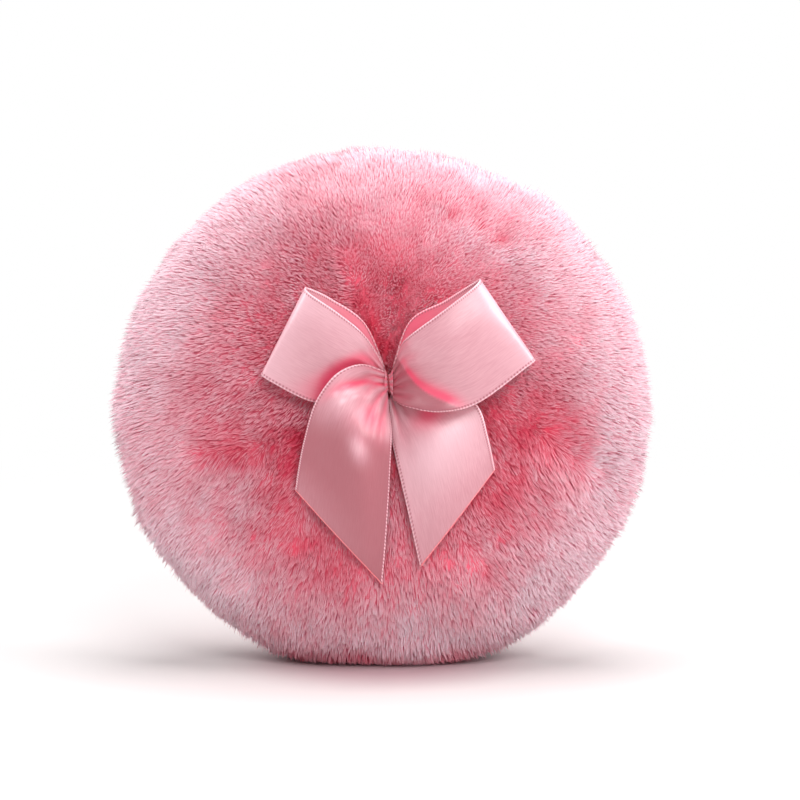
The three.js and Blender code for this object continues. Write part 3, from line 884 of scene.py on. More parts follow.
def strands_piece(name, lines, paleness, facing):
    """One mesh of closed tapered strands, with a map of how pale a strand is and how far up it a place is."""
    count = len(lines)
    sides = 3
    heading = unit(lines[:, 3] - lines[:, 0])
    helper = np.where(np.abs(heading[:, 2:3]) < 0.8, [[0, 0, 1.0]], [[1.0, 0, 0]])
    outward = unit(np.cross(heading, helper))
    aside = np.cross(heading, outward)
    corners = []
    for step, thickness in enumerate(strand_taper):
        for side in range(sides):
            angle = 2 * math.pi * side / sides
            offset = outward * math.cos(angle) + aside * math.sin(angle)
            corners.append(lines[:, step] + offset * strand_radius * thickness)
    corners.append(lines[:, 3])
    points = stood_up(np.stack(corners, axis=1))
    tip = len(corners) - 1
    faces = [(2, 1, 0)]
    for step in range(len(strand_taper) - 1):
        for side in range(sides):
            here = sides * step + side
            after = sides * step + (side + 1) % sides
            faces.append((here, after, after + sides, here + sides))
    faces += [(tip - sides + side, tip - sides + (side + 1) % sides, tip) for side in range(sides)]
    loop_corners = np.array([corner for face in faces for corner in face])
    face_sizes = np.array([len(face) for face in faces])
    face_starts = np.concatenate([[0], np.cumsum(face_sizes)[:-1]])

    mesh = bpy.data.meshes.new(name)
    mesh.vertices.add(count * len(corners))
    mesh.vertices.foreach_set("co", points.reshape(-1).astype(np.float32))
    all_loops = (loop_corners[None, :] + len(corners) * np.arange(count)[:, None]).reshape(-1)
    mesh.loops.add(len(all_loops))
    mesh.loops.foreach_set("vertex_index", all_loops.astype(np.int32))
    all_starts = (face_starts[None, :] + len(loop_corners) * np.arange(count)[:, None]).reshape(-1)
    mesh.polygons.add(len(all_starts))
    mesh.polygons.foreach_set("loop_start", all_starts.astype(np.int32))
    mesh.update(calc_edges=True)
    mesh.shade_smooth()
    in_room = unit(stood_up(facing) - stood_up(np.zeros(3)))
    mesh.normals_split_custom_set_from_vertices(np.repeat(in_room, len(corners), axis=0).tolist())

    # Across the map lies how pale a strand is. Each strand covers a narrow column of it, short of its ends.
    map_width = 1 / 64
    map_end = 0.004
    up_strand = np.append(np.repeat(strand_shares[:3], sides), 1.0)[loop_corners]
    beside = np.array([-1, 0, 1] * len(strand_taper) + [0])[loop_corners] * map_width
    across_map = np.clip(paleness[:, None], map_width, 1 - map_width) + beside
    up_map = np.broadcast_to(map_end + (1 - 2 * map_end) * up_strand, across_map.shape)
    draw_map(mesh, "OFBake", across_map.reshape(-1), up_map.reshape(-1))
    piece = bpy.data.objects.new(name, mesh)
    bpy.context.scene.collection.objects.link(piece)
    return piece


def laid_over(tree, under, over, amount):
    """One colour laid over another by an amount."""
    mixed = tree.nodes.new("ShaderNodeMix")
    mixed.data_type = "RGBA"
    places = [index for index, socket in enumerate(mixed.inputs) if socket.type == "RGBA"]
    wire(tree, mixed, {"Factor": amount, places[0]: under, places[1]: over})
    return [socket for socket in mixed.outputs if socket.type == "RGBA"][0]


def parts_of_map(tree, name):
    """The two values of a map, as the sockets of a node."""
    drawn = tree.nodes.new("ShaderNodeUVMap")
    drawn.uv_map = name
    return drawn.outputs[0], add_node(tree, "ShaderNodeSeparateXYZ", {0: drawn.outputs[0]}).outputs


def plush_finish():
    material, tree, shader = finish("plush_pile")
    parts = parts_of_map(tree, "OFBake")[1]
    # Each ramp runs from a strand's root to its tip: lighter towards the tips, as the pile's fibres are, and
    # deeper and more saturated towards the roots, which is painted shade of the pile's depth.
    deep = blend_of(
        tree, parts["Y"], (0.35, dyed(236, 44, 76)), (0.7, dyed(244, 72, 102)), (1.0, dyed(250, 108, 134))
    )
    pale = blend_of(
        tree, parts["Y"], (0.35, dyed(254, 132, 160)), (0.7, dyed(254, 206, 220)), (1.0, dyed(255, 242, 248))
    )
    wire(tree, shader, {
        "Base Color": laid_over(tree, deep, pale, parts["X"]),
        "Roughness": 0.8,
        "Specular IOR Level": 0.15,
        "Sheen Weight": 0.8,
        "Sheen Roughness": 0.5,
        "Sheen Tint": dyed(255, 190, 204),
    })
    return material


def bed_finish():
    material, tree, shader = finish("plush_bed")
    fibres = grain(tree, 1400, 5)
    # The paleness map brings the pile's painted rim light and painted shade onto the bed as well.
    uneven = worked_out(tree, "MULTIPLY_ADD", fibres, 0.3, parts_of_map(tree, "paleness")[1]["X"])
    pinks = [(0.1, dyed(236, 60, 88)), (0.6, dyed(250, 112, 136)), (1.0, dyed(254, 186, 200))]
    wire(tree, shader, {
        "Base Color": blend_of(tree, uneven, *pinks),
        "Normal": raised(tree, fibres, 0.8, 0.0002),
        "Roughness": 0.95,
    })
    return material


strand_lines, strand_paleness, strand_facing, strand_angle, strand_turn = lay_strands()
plush_pile = plush_finish()
plush_bed = bed_finish()
plush_pieces = {"front": [], "rear": []}
for half, side in (("front", -1), ("rear", 1)):
    bed = make_bed(f"{half}_plush_bed", side)
    bed.data.materials.append(plush_bed)
    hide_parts(f"{half}_pile")
    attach(bed, "root")
    plush_pieces[half].append(bed)
sector_of = np.floor(np.mod(strand_angle, 2 * math.pi) / (2 * math.pi) * sector_count).astype(int)
for half, members in (("front", strand_turn < math.pi / 2), ("rear", strand_turn >= math.pi / 2)):
    for sector in range(sector_count):
        chosen = members & (sector_of == sector)
        plush = strands_piece(
            f"{half}_plush_{sector + 1}", strand_lines[chosen], strand_paleness[chosen], strand_facing[chosen]
        )
        plush.data.materials.append(plush_pile)
        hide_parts(f"{half}_pile")
        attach(plush, "root")
        plush_pieces[half].append(plush)

# Satin ribbon of the bow
# One length of 16 mm pink satin ribbon with woven selvedges: two loops, and two tails cut on the slant. Each
# stretch runs out from the gathers. A station gives its two selvedges, upper and lower, as shares of the
# ribbon's width, the layer it lies in over the pile, and how far it stands off at four places across.
ribbon_width = 16.0
ribbon_thickness = 0.24
ribbon_seat = 0.2
ribbon_start = 0.05
pleat_count = 5
pleat_height = 0.3
pleat_reach = 3.6
layer_step = 0.8
rows_per_station = 14
columns_across = 40
gather_length = 1.4
right_loop_stations = [
    ((0, 0.16), (0, -0.14), 1, (0, 0, 0, 0)),
    ((0.17, 0.64), (0.32, -0.17), 1, (0.02, 0.03, 0.04, 0.04)),
    ((0.53, 0.85), (0.75, -0.12), 1, (0.05, 0.06, 0.08, 0.08)),
    ((0.8, 1.02), (1.35, 0.2), 1, (0.1, 0.1, 0.09, 0.08)),
    ((0.88, 1.065), (1.445, 0.235), 1.5, (0.2, 0.2, 0.16, 0.12)),
    ((0.81, 0.985), (1.36, 0.17), 2, (0.3, 0.3, 0.24, 0.17)),
    ((0.49, 0.74), (0.86, -0.19), 2, (0.33, 0.36, 0.26, 0.2)),
    ((0.18, 0.51), (0.48, -0.28), 2, (0.24, 0.28, 0.17, 0.2)),
    ((0.078, 0.39), (0.16, -0.24), 2, (0.1, 0.12, 0.07, 0.12)),
    ((0, 0.17), (0, -0.17), 2, (0, 0, 0, 0)),
]
left_loop_stations = [
    ((0, 0.16), (0, -0.15), 0, (0, 0, 0, 0)),
    ((0.2, 0.62), (0.32, -0.14), 0, (0, 0, 0.01, 0.01)),
    ((0.53, 0.86), (0.69, -0.12), 0, (0.03, 0.03, 0.03, 0.03)),
    ((0.74, 0.965), (1.17, 0.04), 0, (0.07, 0.07, 0.06, 0.05)),
    ((0.8, 0.98), (1.25, 0.09), 0.5, (0.16, 0.15, 0.11, 0.08)),
    ((0.75, 0.92), (1.17, 0.03), 1, (0.25, 0.24, 0.17, 0.11)),
    ((0.49, 0.745), (0.75, -0.18), 1, (0.25, 0.24, 0.13, 0.07)),
    ((0.2, 0.5), (0.35, -0.22), 1, (0.14, 0.12, 0.07, 0.04)),
    ((0, 0.17), (0, -0.17), 1, (0, 0, 0, 0)),
]
left_tail_stations = [
    ((0, 0.12), (-0.04, -0.18), 2, (0, 0, 0, 0)),
    ((0.22, 0.2), (-0.05, -0.3), 2, (0.14, 0.07, 0.1, 0.02)),
    ((0.42, 0.15), (-0.07, -0.43), 2, (0.22, 0.19, 0.16, 0.03)),
    ((0.57, 0.02), (-0.075, -0.56), 2, (0.25, 0.27, 0.18, 0.03)),
    ((0.71, -0.21), (-0.065, -0.79), 2, (0.19, 0.27, 0.2, 0.03)),
    ((0.81, -0.55), (-0.045, -1.2), 1, (0.09, 0.19, 0.16, 0.02)),
    ((0.87, -0.83), (-0.015, -1.66), 0.5, (0.04, 0.11, 0.1, 0.02)),
    ((0.91, -1.09), (0.02, -2.07), 0, (0.02, 0.06, 0.05, 0.01)),
]
right_tail_stations = [
    ((0, 0.02), (-0.04, -0.18), 0, (0, 0, 0, 0)),
    ((0.3, 0.01), (-0.03, -0.34), 0, (0.01, 0.02, 0.02, 0.01)),
    ((0.63, -0.08), (-0.02, -0.54), 0, (0.03, 0.06, 0.06, 0.01)),
    ((0.87, -0.24), (0.03, -0.78), 0, (0.04, 0.11, 0.11, 0.02)),
    ((0.97, -0.55), (0.13, -1.22), 0, (0.03, 0.12, 0.11, 0.02)),
    ((1.04, -0.88), (0.275, -1.89), 0, (0.02, 0.06, 0.06, 0.01)),
]


def smooth_through(values, shares):
    """A smooth curve through evenly spaced values, read at shares of its length from 0 to 1."""
    values = np.asarray(values, dtype=float)
    last = len(values) - 1
    place = np.clip(shares, 0, 1) * last
    here = np.minimum(place.astype(int), last)
    part = (place - here).reshape((-1,) + (1,) * (values.ndim - 1))
    before = values[np.maximum(here - 1, 0)]
    start = values[here]
    after = values[np.minimum(here + 1, last)]
    beyond = values[np.minimum(here + 2, last)]
    slope_in = (after - before) / 2
    slope_out = (beyond - start) / 2
    curve = (2 * start - 2 * after + slope_in + slope_out) * part ** 3
    curve += (-3 * start + 3 * after - 2 * slope_in - slope_out) * part ** 2
    return curve + slope_in * part + start


def bump_at(values, middle, width):
    """A smooth rise of height one round a middle."""
    return np.exp(-(((values - middle) / width) ** 2))


def right_loop_folds(station, across):
    """The front pass sinks into a valley from the knot to its lower selvedge, over a round belly."""
    valley = valley_of_right_loop(station)
    belly = (valley + 1.08) / 2
    near = bump_at(station, 7.1, 0.75)
    return near * (-1.0 * bump_at(across, valley, 0.1) + 0.8 * bump_at(across, belly, 0.1))


def valley_of_right_loop(station):
    """Where across the ribbon the valley of the right loop lies, at a station."""
    return 0.95 - 0.3 * (station - 6.4) - 0.17 * np.maximum(station - 7, 0) ** 2


def left_loop_folds(station, across):
    """The front pass dips where the tail crosses it."""
    return -0.9 * bump_at(station, 7.0, 0.6) * bump_at(across, 0.85, 0.22)


def left_tail_folds(station, across):
    """Below its arched outer selvedge the tail sinks into a valley, then rises to a crest from the knot."""
    near = bump_at(station, 2.0, 1.3)
    valley = 0.26 - 0.12 * (station - 2)
    crest = 0.42 - 0.13 * (station - 2)
    rise = -1.2 * bump_at(across, valley, 0.08) + 1.0 * bump_at(across, crest, 0.11)
    hollow = -0.3 * bump_at(station, 2.9, 0.9) * bump_at(across, 0.66, 0.2)
    return near * rise + hollow + 0.6 * bump_at(station, 4.3, 0.45) * bump_at(across, 0.6, 0.13)


def right_tail_folds(station, across):
    """The tail comes out from under the loop in a soft roll."""
    return 1.2 * bump_at(station, 3.9, 1.1) + 0.3 * bump_at(station, 3.3, 0.5) * bump_at(across, 0.6, 0.2)


# Painted shade: how deep a pink each stretch is painted where satin shades satin, between its passes near the
# knot, in its valleys and under the crossing tail.
def painted_shade_between_passes(station, across):
    return 0.95 * bump_at(station, 1.3, 1.2) * np.ones_like(across)


def painted_shade_in_right_loop(station, across):
    valley = valley_of_right_loop(station)
    along_valley = smooth_step(6.1, 6.7, station) * (1 - smooth_step(7.5, 8.1, station))
    below_valley = smooth_step(valley, valley + 0.07, across)
    above = smooth_step(valley - 0.32, valley, across) ** 1.5 * (1 - below_valley)
    return painted_shade_between_passes(station, across) + 0.72 * along_valley * above


def painted_shade_in_left_loop(station, across):
    along_arch = 0.87 - 0.42 * (station - 5.9)
    beside_arch = smooth_step(along_arch - 0.26, along_arch - 0.02, across)
    return painted_shade_between_passes(station, across) + 1.3 * bump_at(station, 6.7, 0.75) * beside_arch


def painted_shade_in_left_tail(station, across):
    return 0.35 * bump_at(station, 2.8, 0.9) * bump_at(across, 0.7, 0.2)


def painted_shade_in_right_tail(station, across):
    return 0.9 * bump_at(station, 2.2, 0.5) * bump_at(across, 0.45, 0.2)


# Painted highlights and painted shade: how light or dusky the satin of each stretch is painted, as its floats
# lie to the light: a half is plain.
def painted_highlight_and_shade_of_right_loop(station, across):
    below_valley = smooth_step(0, 0.05, across - valley_of_right_loop(station) - 0.02)
    belly = smooth_step(6.2, 6.6, station) * below_valley
    fold = bump_at(station, 4.6, 0.6) * (0.6 + 0.4 * bump_at(across, 0.25, 0.25))
    # A painted highlight along the fold edge, and painted shade on the belly below the valley.
    return 0.5 + 0.4 * fold - 0.38 * belly


def painted_highlight_of_left_loop(station, across):
    # A painted highlight near the fold edge and along the upper selvedge.
    return 0.5 + 0.25 * bump_at(station, 4.7, 0.7) + 0.12 * bump_at(across, 0, 0.3)


def painted_highlight_and_shade_of_left_tail(station, across):
    begun = 3.4 - 0.9 * across
    lifted_foot = 0.4 * smooth_step(5.4, 7, station) * (1 - across)
    dusk_where_hanging = smooth_step(begun, begun + 1.5, station) * (1 - lifted_foot)
    glint = bump_at(station, 4.25, 0.32) * bump_at(across, 0.6, 0.11)
    shoulder_highlight = bump_at(station, 3.4, 0.8) * bump_at(across, 0.3 - 0.13 * (station - 3), 0.12)
    # Painted shade where the tail hangs, a painted glint, and a painted highlight on the shoulder.
    return 0.5 - 0.45 * dusk_where_hanging + 0.58 * glint + 0.1 * shoulder_highlight


def painted_highlight_and_shade_of_right_tail(station, across):
    roll = bump_at(station, 3.4, 0.7) * bump_at(across, 0.5, 0.5)
    # A painted highlight on the roll, and painted shade below it.
    return 0.5 + 0.35 * roll - 0.12 * smooth_step(4.1, 4.8, station)


def ribbon_surface(stations, side, folds, shade):
    """The ribbon's middle surface, a grid of places along and across it, and how much painted shade deepens
    its pink there.
    """
    along = np.linspace(0, 1, (len(stations) - 1) * rows_per_station + 1)
    across = np.linspace(0, 1, columns_across + 1)
    readings = [smooth_through([station[part] for station in stations], along) for part in range(4)]
    upper, lower, layer, lifts = readings
    lift = np.stack([smooth_through(row, across) for row in lifts])
    place = upper[:, None, :] * (1 - across)[None, :, None] + lower[:, None, :] * across[None, :, None]
    place *= ribbon_width
    out = place[..., 0]
    x = bow_across + side * (gather_length / 2 + ribbon_start + out)
    z = bow_above + place[..., 1]
    stand = gap + ribbon_seat + layer[:, None] * layer_step + lift * ribbon_width
    station = (along * (len(stations) - 1))[:, None]
    fold = folds(station, across[None, :])
    stand += fold
    smoothing_passes = 60
    for _ in range(smoothing_passes):
        stand[1:-1] = (stand[:-2] + 2 * stand[1:-1] + stand[2:]) / 4
    from_knot = np.hypot(np.maximum(out, 0), place[..., 1] * 0.35)
    pleat = np.cos(2 * math.pi * (pleat_count * across[None, :] + 0.25))
    stand += pleat_height * pleat * np.exp(-((from_knot / pleat_reach) ** 2)) * smooth_step(-0.6, 0.5, out)
    # Painted shade: the pink deepens in the valleys of the folds, where the stretch's shade function paints
    # it, and in the pleats' valleys near the knot.
    deep_pink = np.clip(-0.9 * fold, 0, 1) + shade(station, across[None, :])
    crease_reach = 2.6
    deep_pink += 0.35 * np.exp(-((from_knot / crease_reach) ** 2)) * (1 - pleat)
    return np.stack([x, -(pile_depth(x, z) + stand), z], axis=-1), np.clip(deep_pink, 0, 1)


def ribbon_piece(name, stations, side, folds, shade, painted_light_and_shade):
    """A stretch of ribbon as a closed piece, with a map of millimetres along and across it."""
    grid, deep_pink = ribbon_surface(stations, side, folds, shade)
    rows, columns = grid.shape[:2]
    facing = unit(np.cross(np.gradient(grid, axis=0), np.gradient(grid, axis=1)))
    across = np.linspace(0, 1, columns)
    selvedge = 1 + 0.2 * np.exp(-((np.minimum(across, 1 - across) * ribbon_width / 0.35) ** 2))
    offset = facing * (ribbon_thickness / 2 * selvedge)[None, :, None]
    points = np.concatenate([(grid - offset).reshape(-1, 3), (grid + offset).reshape(-1, 3)])
    number = np.arange(rows * columns).reshape(rows, columns)
    half = rows * columns
    faces = []
    for i in range(rows - 1):
        for j in range(columns - 1):
            a, b, c, d = number[i, j], number[i + 1, j], number[i + 1, j + 1], number[i, j + 1]
            faces.append((a, b, c, d))
            faces.append((a + half, d + half, c + half, b + half))
    border = [*number[0, :-1], *number[:-1, -1], *number[-1, :0:-1], *number[:0:-1, 0]]
    for index, here in enumerate(border):
        after = border[(index + 1) % len(border)]
        faces.append((here, after, after + half, here + half))
    faces = [tuple(int(corner) for corner in face) for face in faces]
    ribbon = piece_from(name, points, faces)
    face_outward(ribbon)
    ribbon.data.shade_smooth()
    steps_along = np.linalg.norm(np.diff(grid[:, columns // 2], axis=0), axis=1)
    travelled = np.concatenate([[0], np.cumsum(steps_along)])
    on_face = corner_order(ribbon.data) % half
    flat_along = np.repeat(travelled, columns)
    flat_across = np.tile(across * ribbon_width, rows)
    draw_map(ribbon.data, "weave", flat_along[on_face], flat_across[on_face])
    # The deep_pink map: its first value is the painted fold shade, its second the painted highlights and
    # shade.
    station = np.arange(rows)[:, None] / rows_per_station
    painted_light_and_shade_values = np.broadcast_to(painted_light_and_shade(station, across[None, :]), (rows, columns)).reshape(-1)
    draw_map(ribbon.data, "deep_pink", deep_pink.reshape(-1)[on_face], np.clip(painted_light_and_shade_values, 0, 1)[on_face])
    return ribbon, grid, float(travelled[-1])


def press_under(grid):
    """Presses the pile down under a stretch of ribbon, so that no strand comes through the satin."""
    near = 0.45
    margin = 0.5
    clear_of_satin = 0.2
    front_of_pile = -6
    tree = KDTree(grid.shape[0] * grid.shape[1])
    flat = grid.reshape(-1, 3)
    for index, place in enumerate(flat):
        tree.insert((place[0], place[2], 0), index)
    tree.balance()
    to_pad = np.array([[1, 0, 0], [0, math.cos(lean), -math.sin(lean)], [0, math.sin(lean), math.cos(lean)]])
    low = flat.min(axis=0) - margin
    high = flat.max(axis=0) + margin
    for plush in plush_pieces["front"][1:]:
        mesh = plush.data
        raw = np.zeros(len(mesh.vertices) * 3, dtype=np.float32)
        mesh.vertices.foreach_get("co", raw)
        room = raw.reshape(-1, 3).astype(float)
        pad = ((room - np.array(puff_middle())) / millimetre) @ to_pad.T
        under = pad[:, 1] < front_of_pile
        for axis in (0, 2):
            under &= (pad[:, axis] > low[axis]) & (pad[:, axis] < high[axis])
        changed = False
        for vertex in np.nonzero(under)[0]:
            over_it = tree.find_range((pad[vertex, 0], pad[vertex, 2], 0), near)
            if over_it:
                limit = max(flat[index, 1] for place, index, distance in over_it)
                limit += ribbon_thickness / 2 + clear_of_satin
                if pad[vertex, 1] < limit:
                    pad[vertex, 1] = limit
                    changed = True
        if changed:
            mesh.vertices.foreach_set("co", stood_up(pad).astype(np.float32).reshape(-1))
            mesh.update()


def satin_finish():
    material, tree, shader = finish("satin_ribbon")
    weave, parts = parts_of_map(tree, "weave")

    # The woven selvedge: an outer line with loops in it, and beside it an inner line of dots.
    outer_line_width = 0.24
    inner_line_place = 0.38
    inner_line_reach = 0.16
    picot_pitch = 0.52
    from_middle = worked_out(tree, "ABSOLUTE", worked_out(tree, "SUBTRACT", parts["Y"], ribbon_width / 2))
    from_edge = worked_out(tree, "SUBTRACT", ribbon_width / 2, from_middle)
    outer_line = worked_out(tree, "LESS_THAN", from_edge, outer_line_width)
    inner_line = worked_out(tree, "COMPARE", from_edge, inner_line_place, inner_line_reach)
    wave = worked_out(tree, "SINE", worked_out(tree, "MULTIPLY", parts["X"], 2 * math.pi / picot_pitch))
    picots = worked_out(tree, "GREATER_THAN", wave, 0)
    loops = worked_out(tree, "MULTIPLY", outer_line, worked_out(tree, "MULTIPLY_ADD", picots, 0.6, 0.25))
    dots = worked_out(tree, "MULTIPLY", inner_line, worked_out(tree, "MULTIPLY_ADD", picots, -0.6, 0.75))

    # The satin itself: fine slanting floats, with painted shade that deepens the pink in the folds, and
    # painted highlights and painted shade that make it lighter or duskier.
    stretch = add_node(tree, "ShaderNodeMapping", {
        "Vector": weave, "Rotation": (0, 0, math.radians(62)), "Scale": (0.25, 3.2, 1),
    })
    settings = {"Vector": stretch.outputs[0], "Scale": 1.6, "Detail": 3}
    twill = add_node(tree, "ShaderNodeTexNoise", settings).outputs[0]
    satin = blend_of(tree, twill, (0.3, dyed(203, 139, 150)), (0.7, dyed(215, 156, 167)))
    # Painted shade and painted highlights, read from the deep_pink map: deep pink in the folds, dusk where
    # the satin turns from the light, and light where it turns to it.
    shades = parts_of_map(tree, "deep_pink")[1]
    painted_fold_shade = worked_out(tree, "MULTIPLY", shades["X"], 0.85)
    painted_dusk = worked_out(tree, "MULTIPLY_ADD", shades["Y"], -1.9, 0.95)
    light = worked_out(tree, "MULTIPLY_ADD", shades["Y"], 1.6, -0.8)
    # The deep pink of the folds and the dusk are painted shade; the pale pink laid over them is a painted
    # highlight.
    colour = laid_over(tree, satin, dyed(244, 66, 108), painted_fold_shade)
    colour = laid_over(tree, colour, dyed(158, 66, 80), painted_dusk)
    colour = laid_over(tree, colour, dyed(248, 204, 214), light)
    colour = laid_over(tree, colour, dyed(250, 196, 206), loops)
    colour = laid_over(tree, colour, dyed(166, 82, 98), dots)
    height = worked_out(tree, "MULTIPLY_ADD", outer_line, 1.2, twill)
    wire(tree, shader, {
        "Base Color": colour,
        "Normal": raised(tree, height, 0.35, 0.00008),
        "Roughness": 0.36,
        "Specular IOR Level": 0.7,
        "IOR": 1.6,
        "Sheen Weight": 0.15,
        "Sheen Roughness": 0.35,
    })
    return material


def seal_finish():
    material, tree, shader = finish("sealed_cut")
    salmon = blend_of(tree, grain(tree, 2500), (0.3, dyed(246, 118, 128)), (0.7, dyed(255, 160, 164)))
    wire(tree, shader, {"Base Color": salmon, "Roughness": 0.35})
    return material


satin_ribbon = satin_finish()
sealed_cut = seal_finish()
ribbon_stretches = [
    ("left_loop", left_loop_stations, -1, left_loop_folds, painted_shade_in_left_loop, painted_highlight_of_left_loop),
    ("right_loop", right_loop_stations, 1, right_loop_folds, painted_shade_in_right_loop, painted_highlight_and_shade_of_right_loop),
    ("left_tail", left_tail_stations, -1, left_tail_folds, painted_shade_in_left_tail, painted_highlight_and_shade_of_left_tail),
    ("right_tail", right_tail_stations, 1, right_tail_folds, painted_shade_in_right_tail, painted_highlight_and_shade_of_right_tail),
]
for stretch_name, stations, side, folds, shade, painted_light_and_shade in ribbon_stretches:
    stretch, grid, flat_length = ribbon_piece(f"{stretch_name}_ribbon", stations, side, folds, shade, painted_light_and_shade)
    stretch.data.materials.append(satin_ribbon)
    press_under(grid)
    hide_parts(f"bow_{stretch_name}")
    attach(stretch, "root")
    if stretch_name.endswith("tail"):
        bead = piece_from(f"{stretch_name}_cut_edge", *tube(grid[-1], radius=0.15, sides=8))
        bead.data.materials.append(sealed_cut)
        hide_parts(f"bow_{stretch_name}")
        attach(bead, "root")

# Gathers of the bow
# The same ribbon where it is drawn together: a flattened bundle of folds, narrow where the thread bites.
gather_height = 5.4
gather_depth = 2.6
gather_waist = 0.52
gather_seat = 0.8
binding_thread_diameter = 0.35
hollow_depth = float(pile_depth(bow_across, bow_above))
bow_depth = hollow_depth + 2 * gap + binding_thread_diameter + gather_depth / 2 * gather_seat


def make_gathers():
    """A bundle of folds along X, wide at both ends and narrow at its waist."""
    fold_count = 11
    sides = 176
    rings = 28
    points = []
    for ring in range(rings + 1):
        along = -1 + 2 * ring / rings
        girth = gather_waist + (1 - gather_waist) * along * along
        close = 1 - 0.5 * max(0.0, abs(along) - 0.92) / 0.08
        for side in range(sides):
            angle = 2 * math.pi * side / sides
            crease = 0.5 + 0.5 * math.cos(fold_count * angle + 0.9 * along)
            pleat = 1 - (0.06 + 0.2 * along * along) * crease ** 2
            reach = girth * pleat * close
            points.append((
                bow_across + along * gather_length / 2,
                -bow_depth + reach * gather_depth / 2 * math.sin(angle),
                bow_above + reach * gather_height / 2 * math.cos(angle),
            ))
    gathers = piece_from("gathered_satin", points, sleeve_faces(rings + 1, sides))
    face_outward(gathers)
    gathers.data.shade_smooth()
    order = corner_order(gathers.data)
    weave = np.array([(point[0], 8.0 + 0.4 * (point[2] - bow_above)) for point in points])
    draw_map(gathers.data, "weave", *weave[order].T)
    # Painted shade: the pink deepens in the creases of the bundle.
    round_bundle = 2 * math.pi * (np.arange(len(points)) % sides) / sides
    crease_shade = 0.5 + 0.5 * np.cos(fold_count * round_bundle)
    draw_map(gathers.data, "deep_pink", 0.8 * crease_shade[order], np.full(len(order), 0.5))
    return gathers


gathered_satin = make_gathers()
gathered_satin.data.materials.append(satin_ribbon)
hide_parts("bow_gathers")
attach(gathered_satin, "root")

# Threads of the bow
# A dark red thread is wound round the gathers and pulled tight. A doubled thread ties the bow through pile
# and ground, and ends in a knot behind the front ground, in a pocket of the stuffing.
binding_pitch = 0.7
binding_turns = 1


def binding_line():
    """The middle line of the binding, once round the gathers' waist."""
    clear_of_gathers = 0.04
    stand = clear_of_gathers + binding_thread_diameter / 2
    share = np.linspace(0, 1, 220)
    angle = 2 * math.pi * binding_turns * share
    along = binding_pitch * binding_turns * (share - 0.5)
    return np.column_stack([
        bow_across + along,
        -bow_depth + (gather_depth / 2 * gather_waist + stand) * np.cos(angle),
        bow_above + (gather_height / 2 * gather_waist + stand) * np.sin(angle),
    ])


def anchor_points():
    """The anchor's doubled shank, from the bow to its knot, and the knot, a line wound into a trefoil."""
    knot_middle = knot_front() - knot_diameter / 2
    shank_depth = np.linspace(hollow_depth, knot_middle, 60)
    along_axis = np.ones_like(shank_depth)
    shank = np.column_stack([bow_across * along_axis, -shank_depth, bow_above * along_axis])
    turn = np.linspace(0, 2 * math.pi, 90)
    lobe = 0.5 * (1 + 0.42 * np.cos(3 * turn))
    knot = np.column_stack([
        bow_across + lobe * np.cos(2 * turn),
        -knot_middle + 0.42 * np.sin(3 * turn),
        bow_above + lobe * np.sin(2 * turn),
    ])
    doubled = twisted(shank, anchor_thread_diameter, plies=2, twist_length=2.2)
    return together([doubled, tube(knot, radius=0.28, sides=8)])


bow_thread = sewing_thread_finish("bow_thread", dyed(112, 14, 30), dyed(168, 40, 58))
binding = twisted(binding_line(), binding_thread_diameter, plies=2, twist_length=1.0)
binding_thread = piece_from("binding_thread", *binding)
anchor_thread = piece_from("anchor_thread", *anchor_points())
for bow_tie, node in ((binding_thread, "bow_binding_thread"), (anchor_thread, "bow_anchor_thread")):
    bow_tie.data.materials.append(bow_thread)
    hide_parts(node)
    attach(bow_tie, "root")

# Floor and light
# A plain white table that runs out to a white background. Four square soft lamps light it, one from above,
# one from in front and one from each side, and so does the pale room itself.
scene = bpy.context.scene
scene.view_settings.view_transform = "Standard"


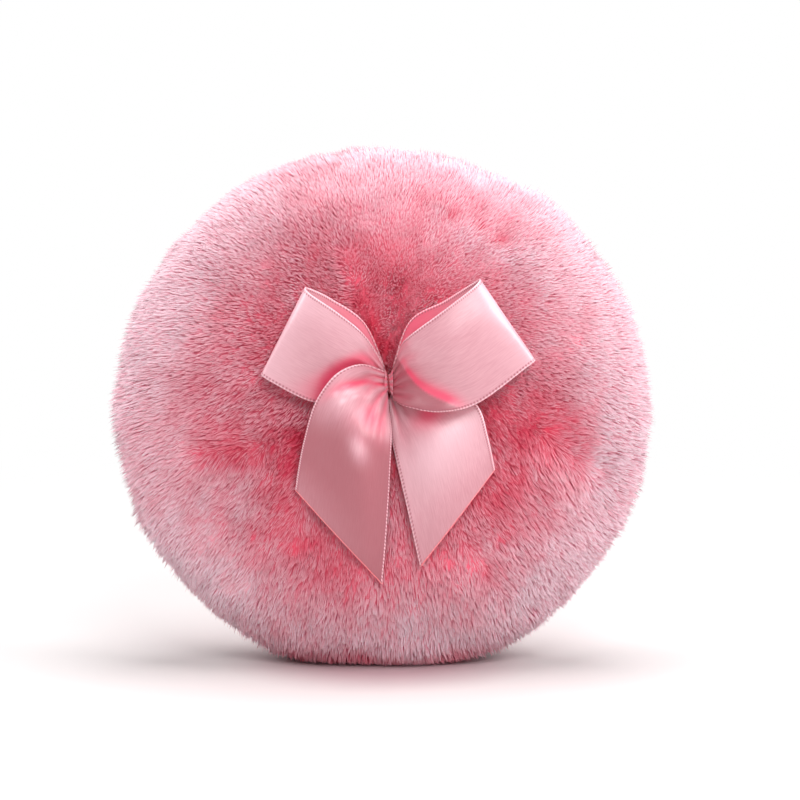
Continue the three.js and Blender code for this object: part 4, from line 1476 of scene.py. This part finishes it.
def make_floor():
    """The table: a painted pink shadow near the puff, and shown as plain white farther off."""
    mesh = bpy.data.meshes.new("floor")
    half = 3.0
    corners = [(-half, -half, 0), (half, -half, 0), (half, half, 0), (-half, half, 0)]
    mesh.from_pydata(corners, [], [(0, 1, 2, 3)])
    floor = bpy.data.objects.new("floor", mesh)
    scene.collection.objects.link(floor)
    material, tree, shader = finish("white_table")
    length = tree.nodes.new("ShaderNodeVectorMath")
    length.operation = "LENGTH"
    wire(tree, length, {0: place_on_piece(tree)})
    distance = length.outputs["Value"]
    away = add_node(tree, "ShaderNodeMapRange", {"Value": distance, "From Min": 0.05, "From Max": 0.22})
    away.interpolation_type = "SMOOTHSTEP"
    # Painted shadow: near the puff the table is a darker pink, for the puff's contact shadow and the pink
    # that the pile throws on it.
    painted_shadow = (0.012, (0.52, 0.35, 0.38, 1))
    painted_half_shadow = (0.026, (0.67, 0.61, 0.61, 1))
    bare = (0.06, (0.68, 0.65, 0.65, 1))
    wire(tree, shader, {
        "Base Color": blend_of(tree, distance, painted_shadow, painted_half_shadow, bare),
        "Roughness": 0.75,
        "Specular IOR Level": 0.2,
    })
    rays = tree.nodes.new("ShaderNodeLightPath")
    seen = worked_out(tree, "MULTIPLY", away.outputs[0], rays.outputs["Is Camera Ray"])
    glow = add_node(tree, "ShaderNodeEmission", {"Strength": 1.0}).outputs[0]
    mixed = add_node(tree, "ShaderNodeMixShader", {0: seen, 1: shader.outputs[0], 2: glow})
    wire(tree, tree.nodes["Material Output"], {"Surface": mixed.outputs[0]})
    mesh.materials.append(material)


def make_world():
    """The room: it lights the puff a little, and is seen as plain white."""
    world = bpy.data.worlds.new("pale_room")
    world.use_nodes = True
    tree = world.node_tree
    white = (1, 1, 1, 1)
    room = tree.nodes["Background"]
    wire(tree, room, {"Color": white, "Strength": 0.49})
    seen = add_node(tree, "ShaderNodeBackground", {"Color": white, "Strength": 1.0})
    rays = tree.nodes.new("ShaderNodeLightPath")
    direct = worked_out(tree, "MAXIMUM", rays.outputs["Is Camera Ray"], rays.outputs["Is Transmission Ray"])
    mixed = add_node(tree, "ShaderNodeMixShader", {0: direct, 1: room.outputs[0], 2: seen.outputs[0]})
    wire(tree, tree.nodes["World Output"], {"Surface": mixed.outputs[0]})
    scene.world = world


def hang_lamp(name, place, size, power):
    """A square soft lamp that faces the puff."""
    data = bpy.data.lights.new(name, "AREA")
    data.shape = "SQUARE"
    data.size = size
    data.energy = power
    lamp = bpy.data.objects.new(name, data)
    lamp.location = place
    towards_puff = puff_middle() - Vector(place)
    lamp.rotation_euler = towards_puff.to_track_quat("-Z", "Y").to_euler()
    scene.collection.objects.link(lamp)


make_floor()
make_world()
hang_lamp("top_lamp", (0.08, 0.12, 0.8), size=0.5, power=4.8)
hang_lamp("front_lamp", (0.14, -0.52, 0.48), size=0.35, power=2.2)
hang_lamp("right_lamp", (0.7, -0.1, 0.4), size=0.4, power=3.4)
hang_lamp("left_lamp", (-0.65, 0.02, 0.45), size=0.4, power=2.2)
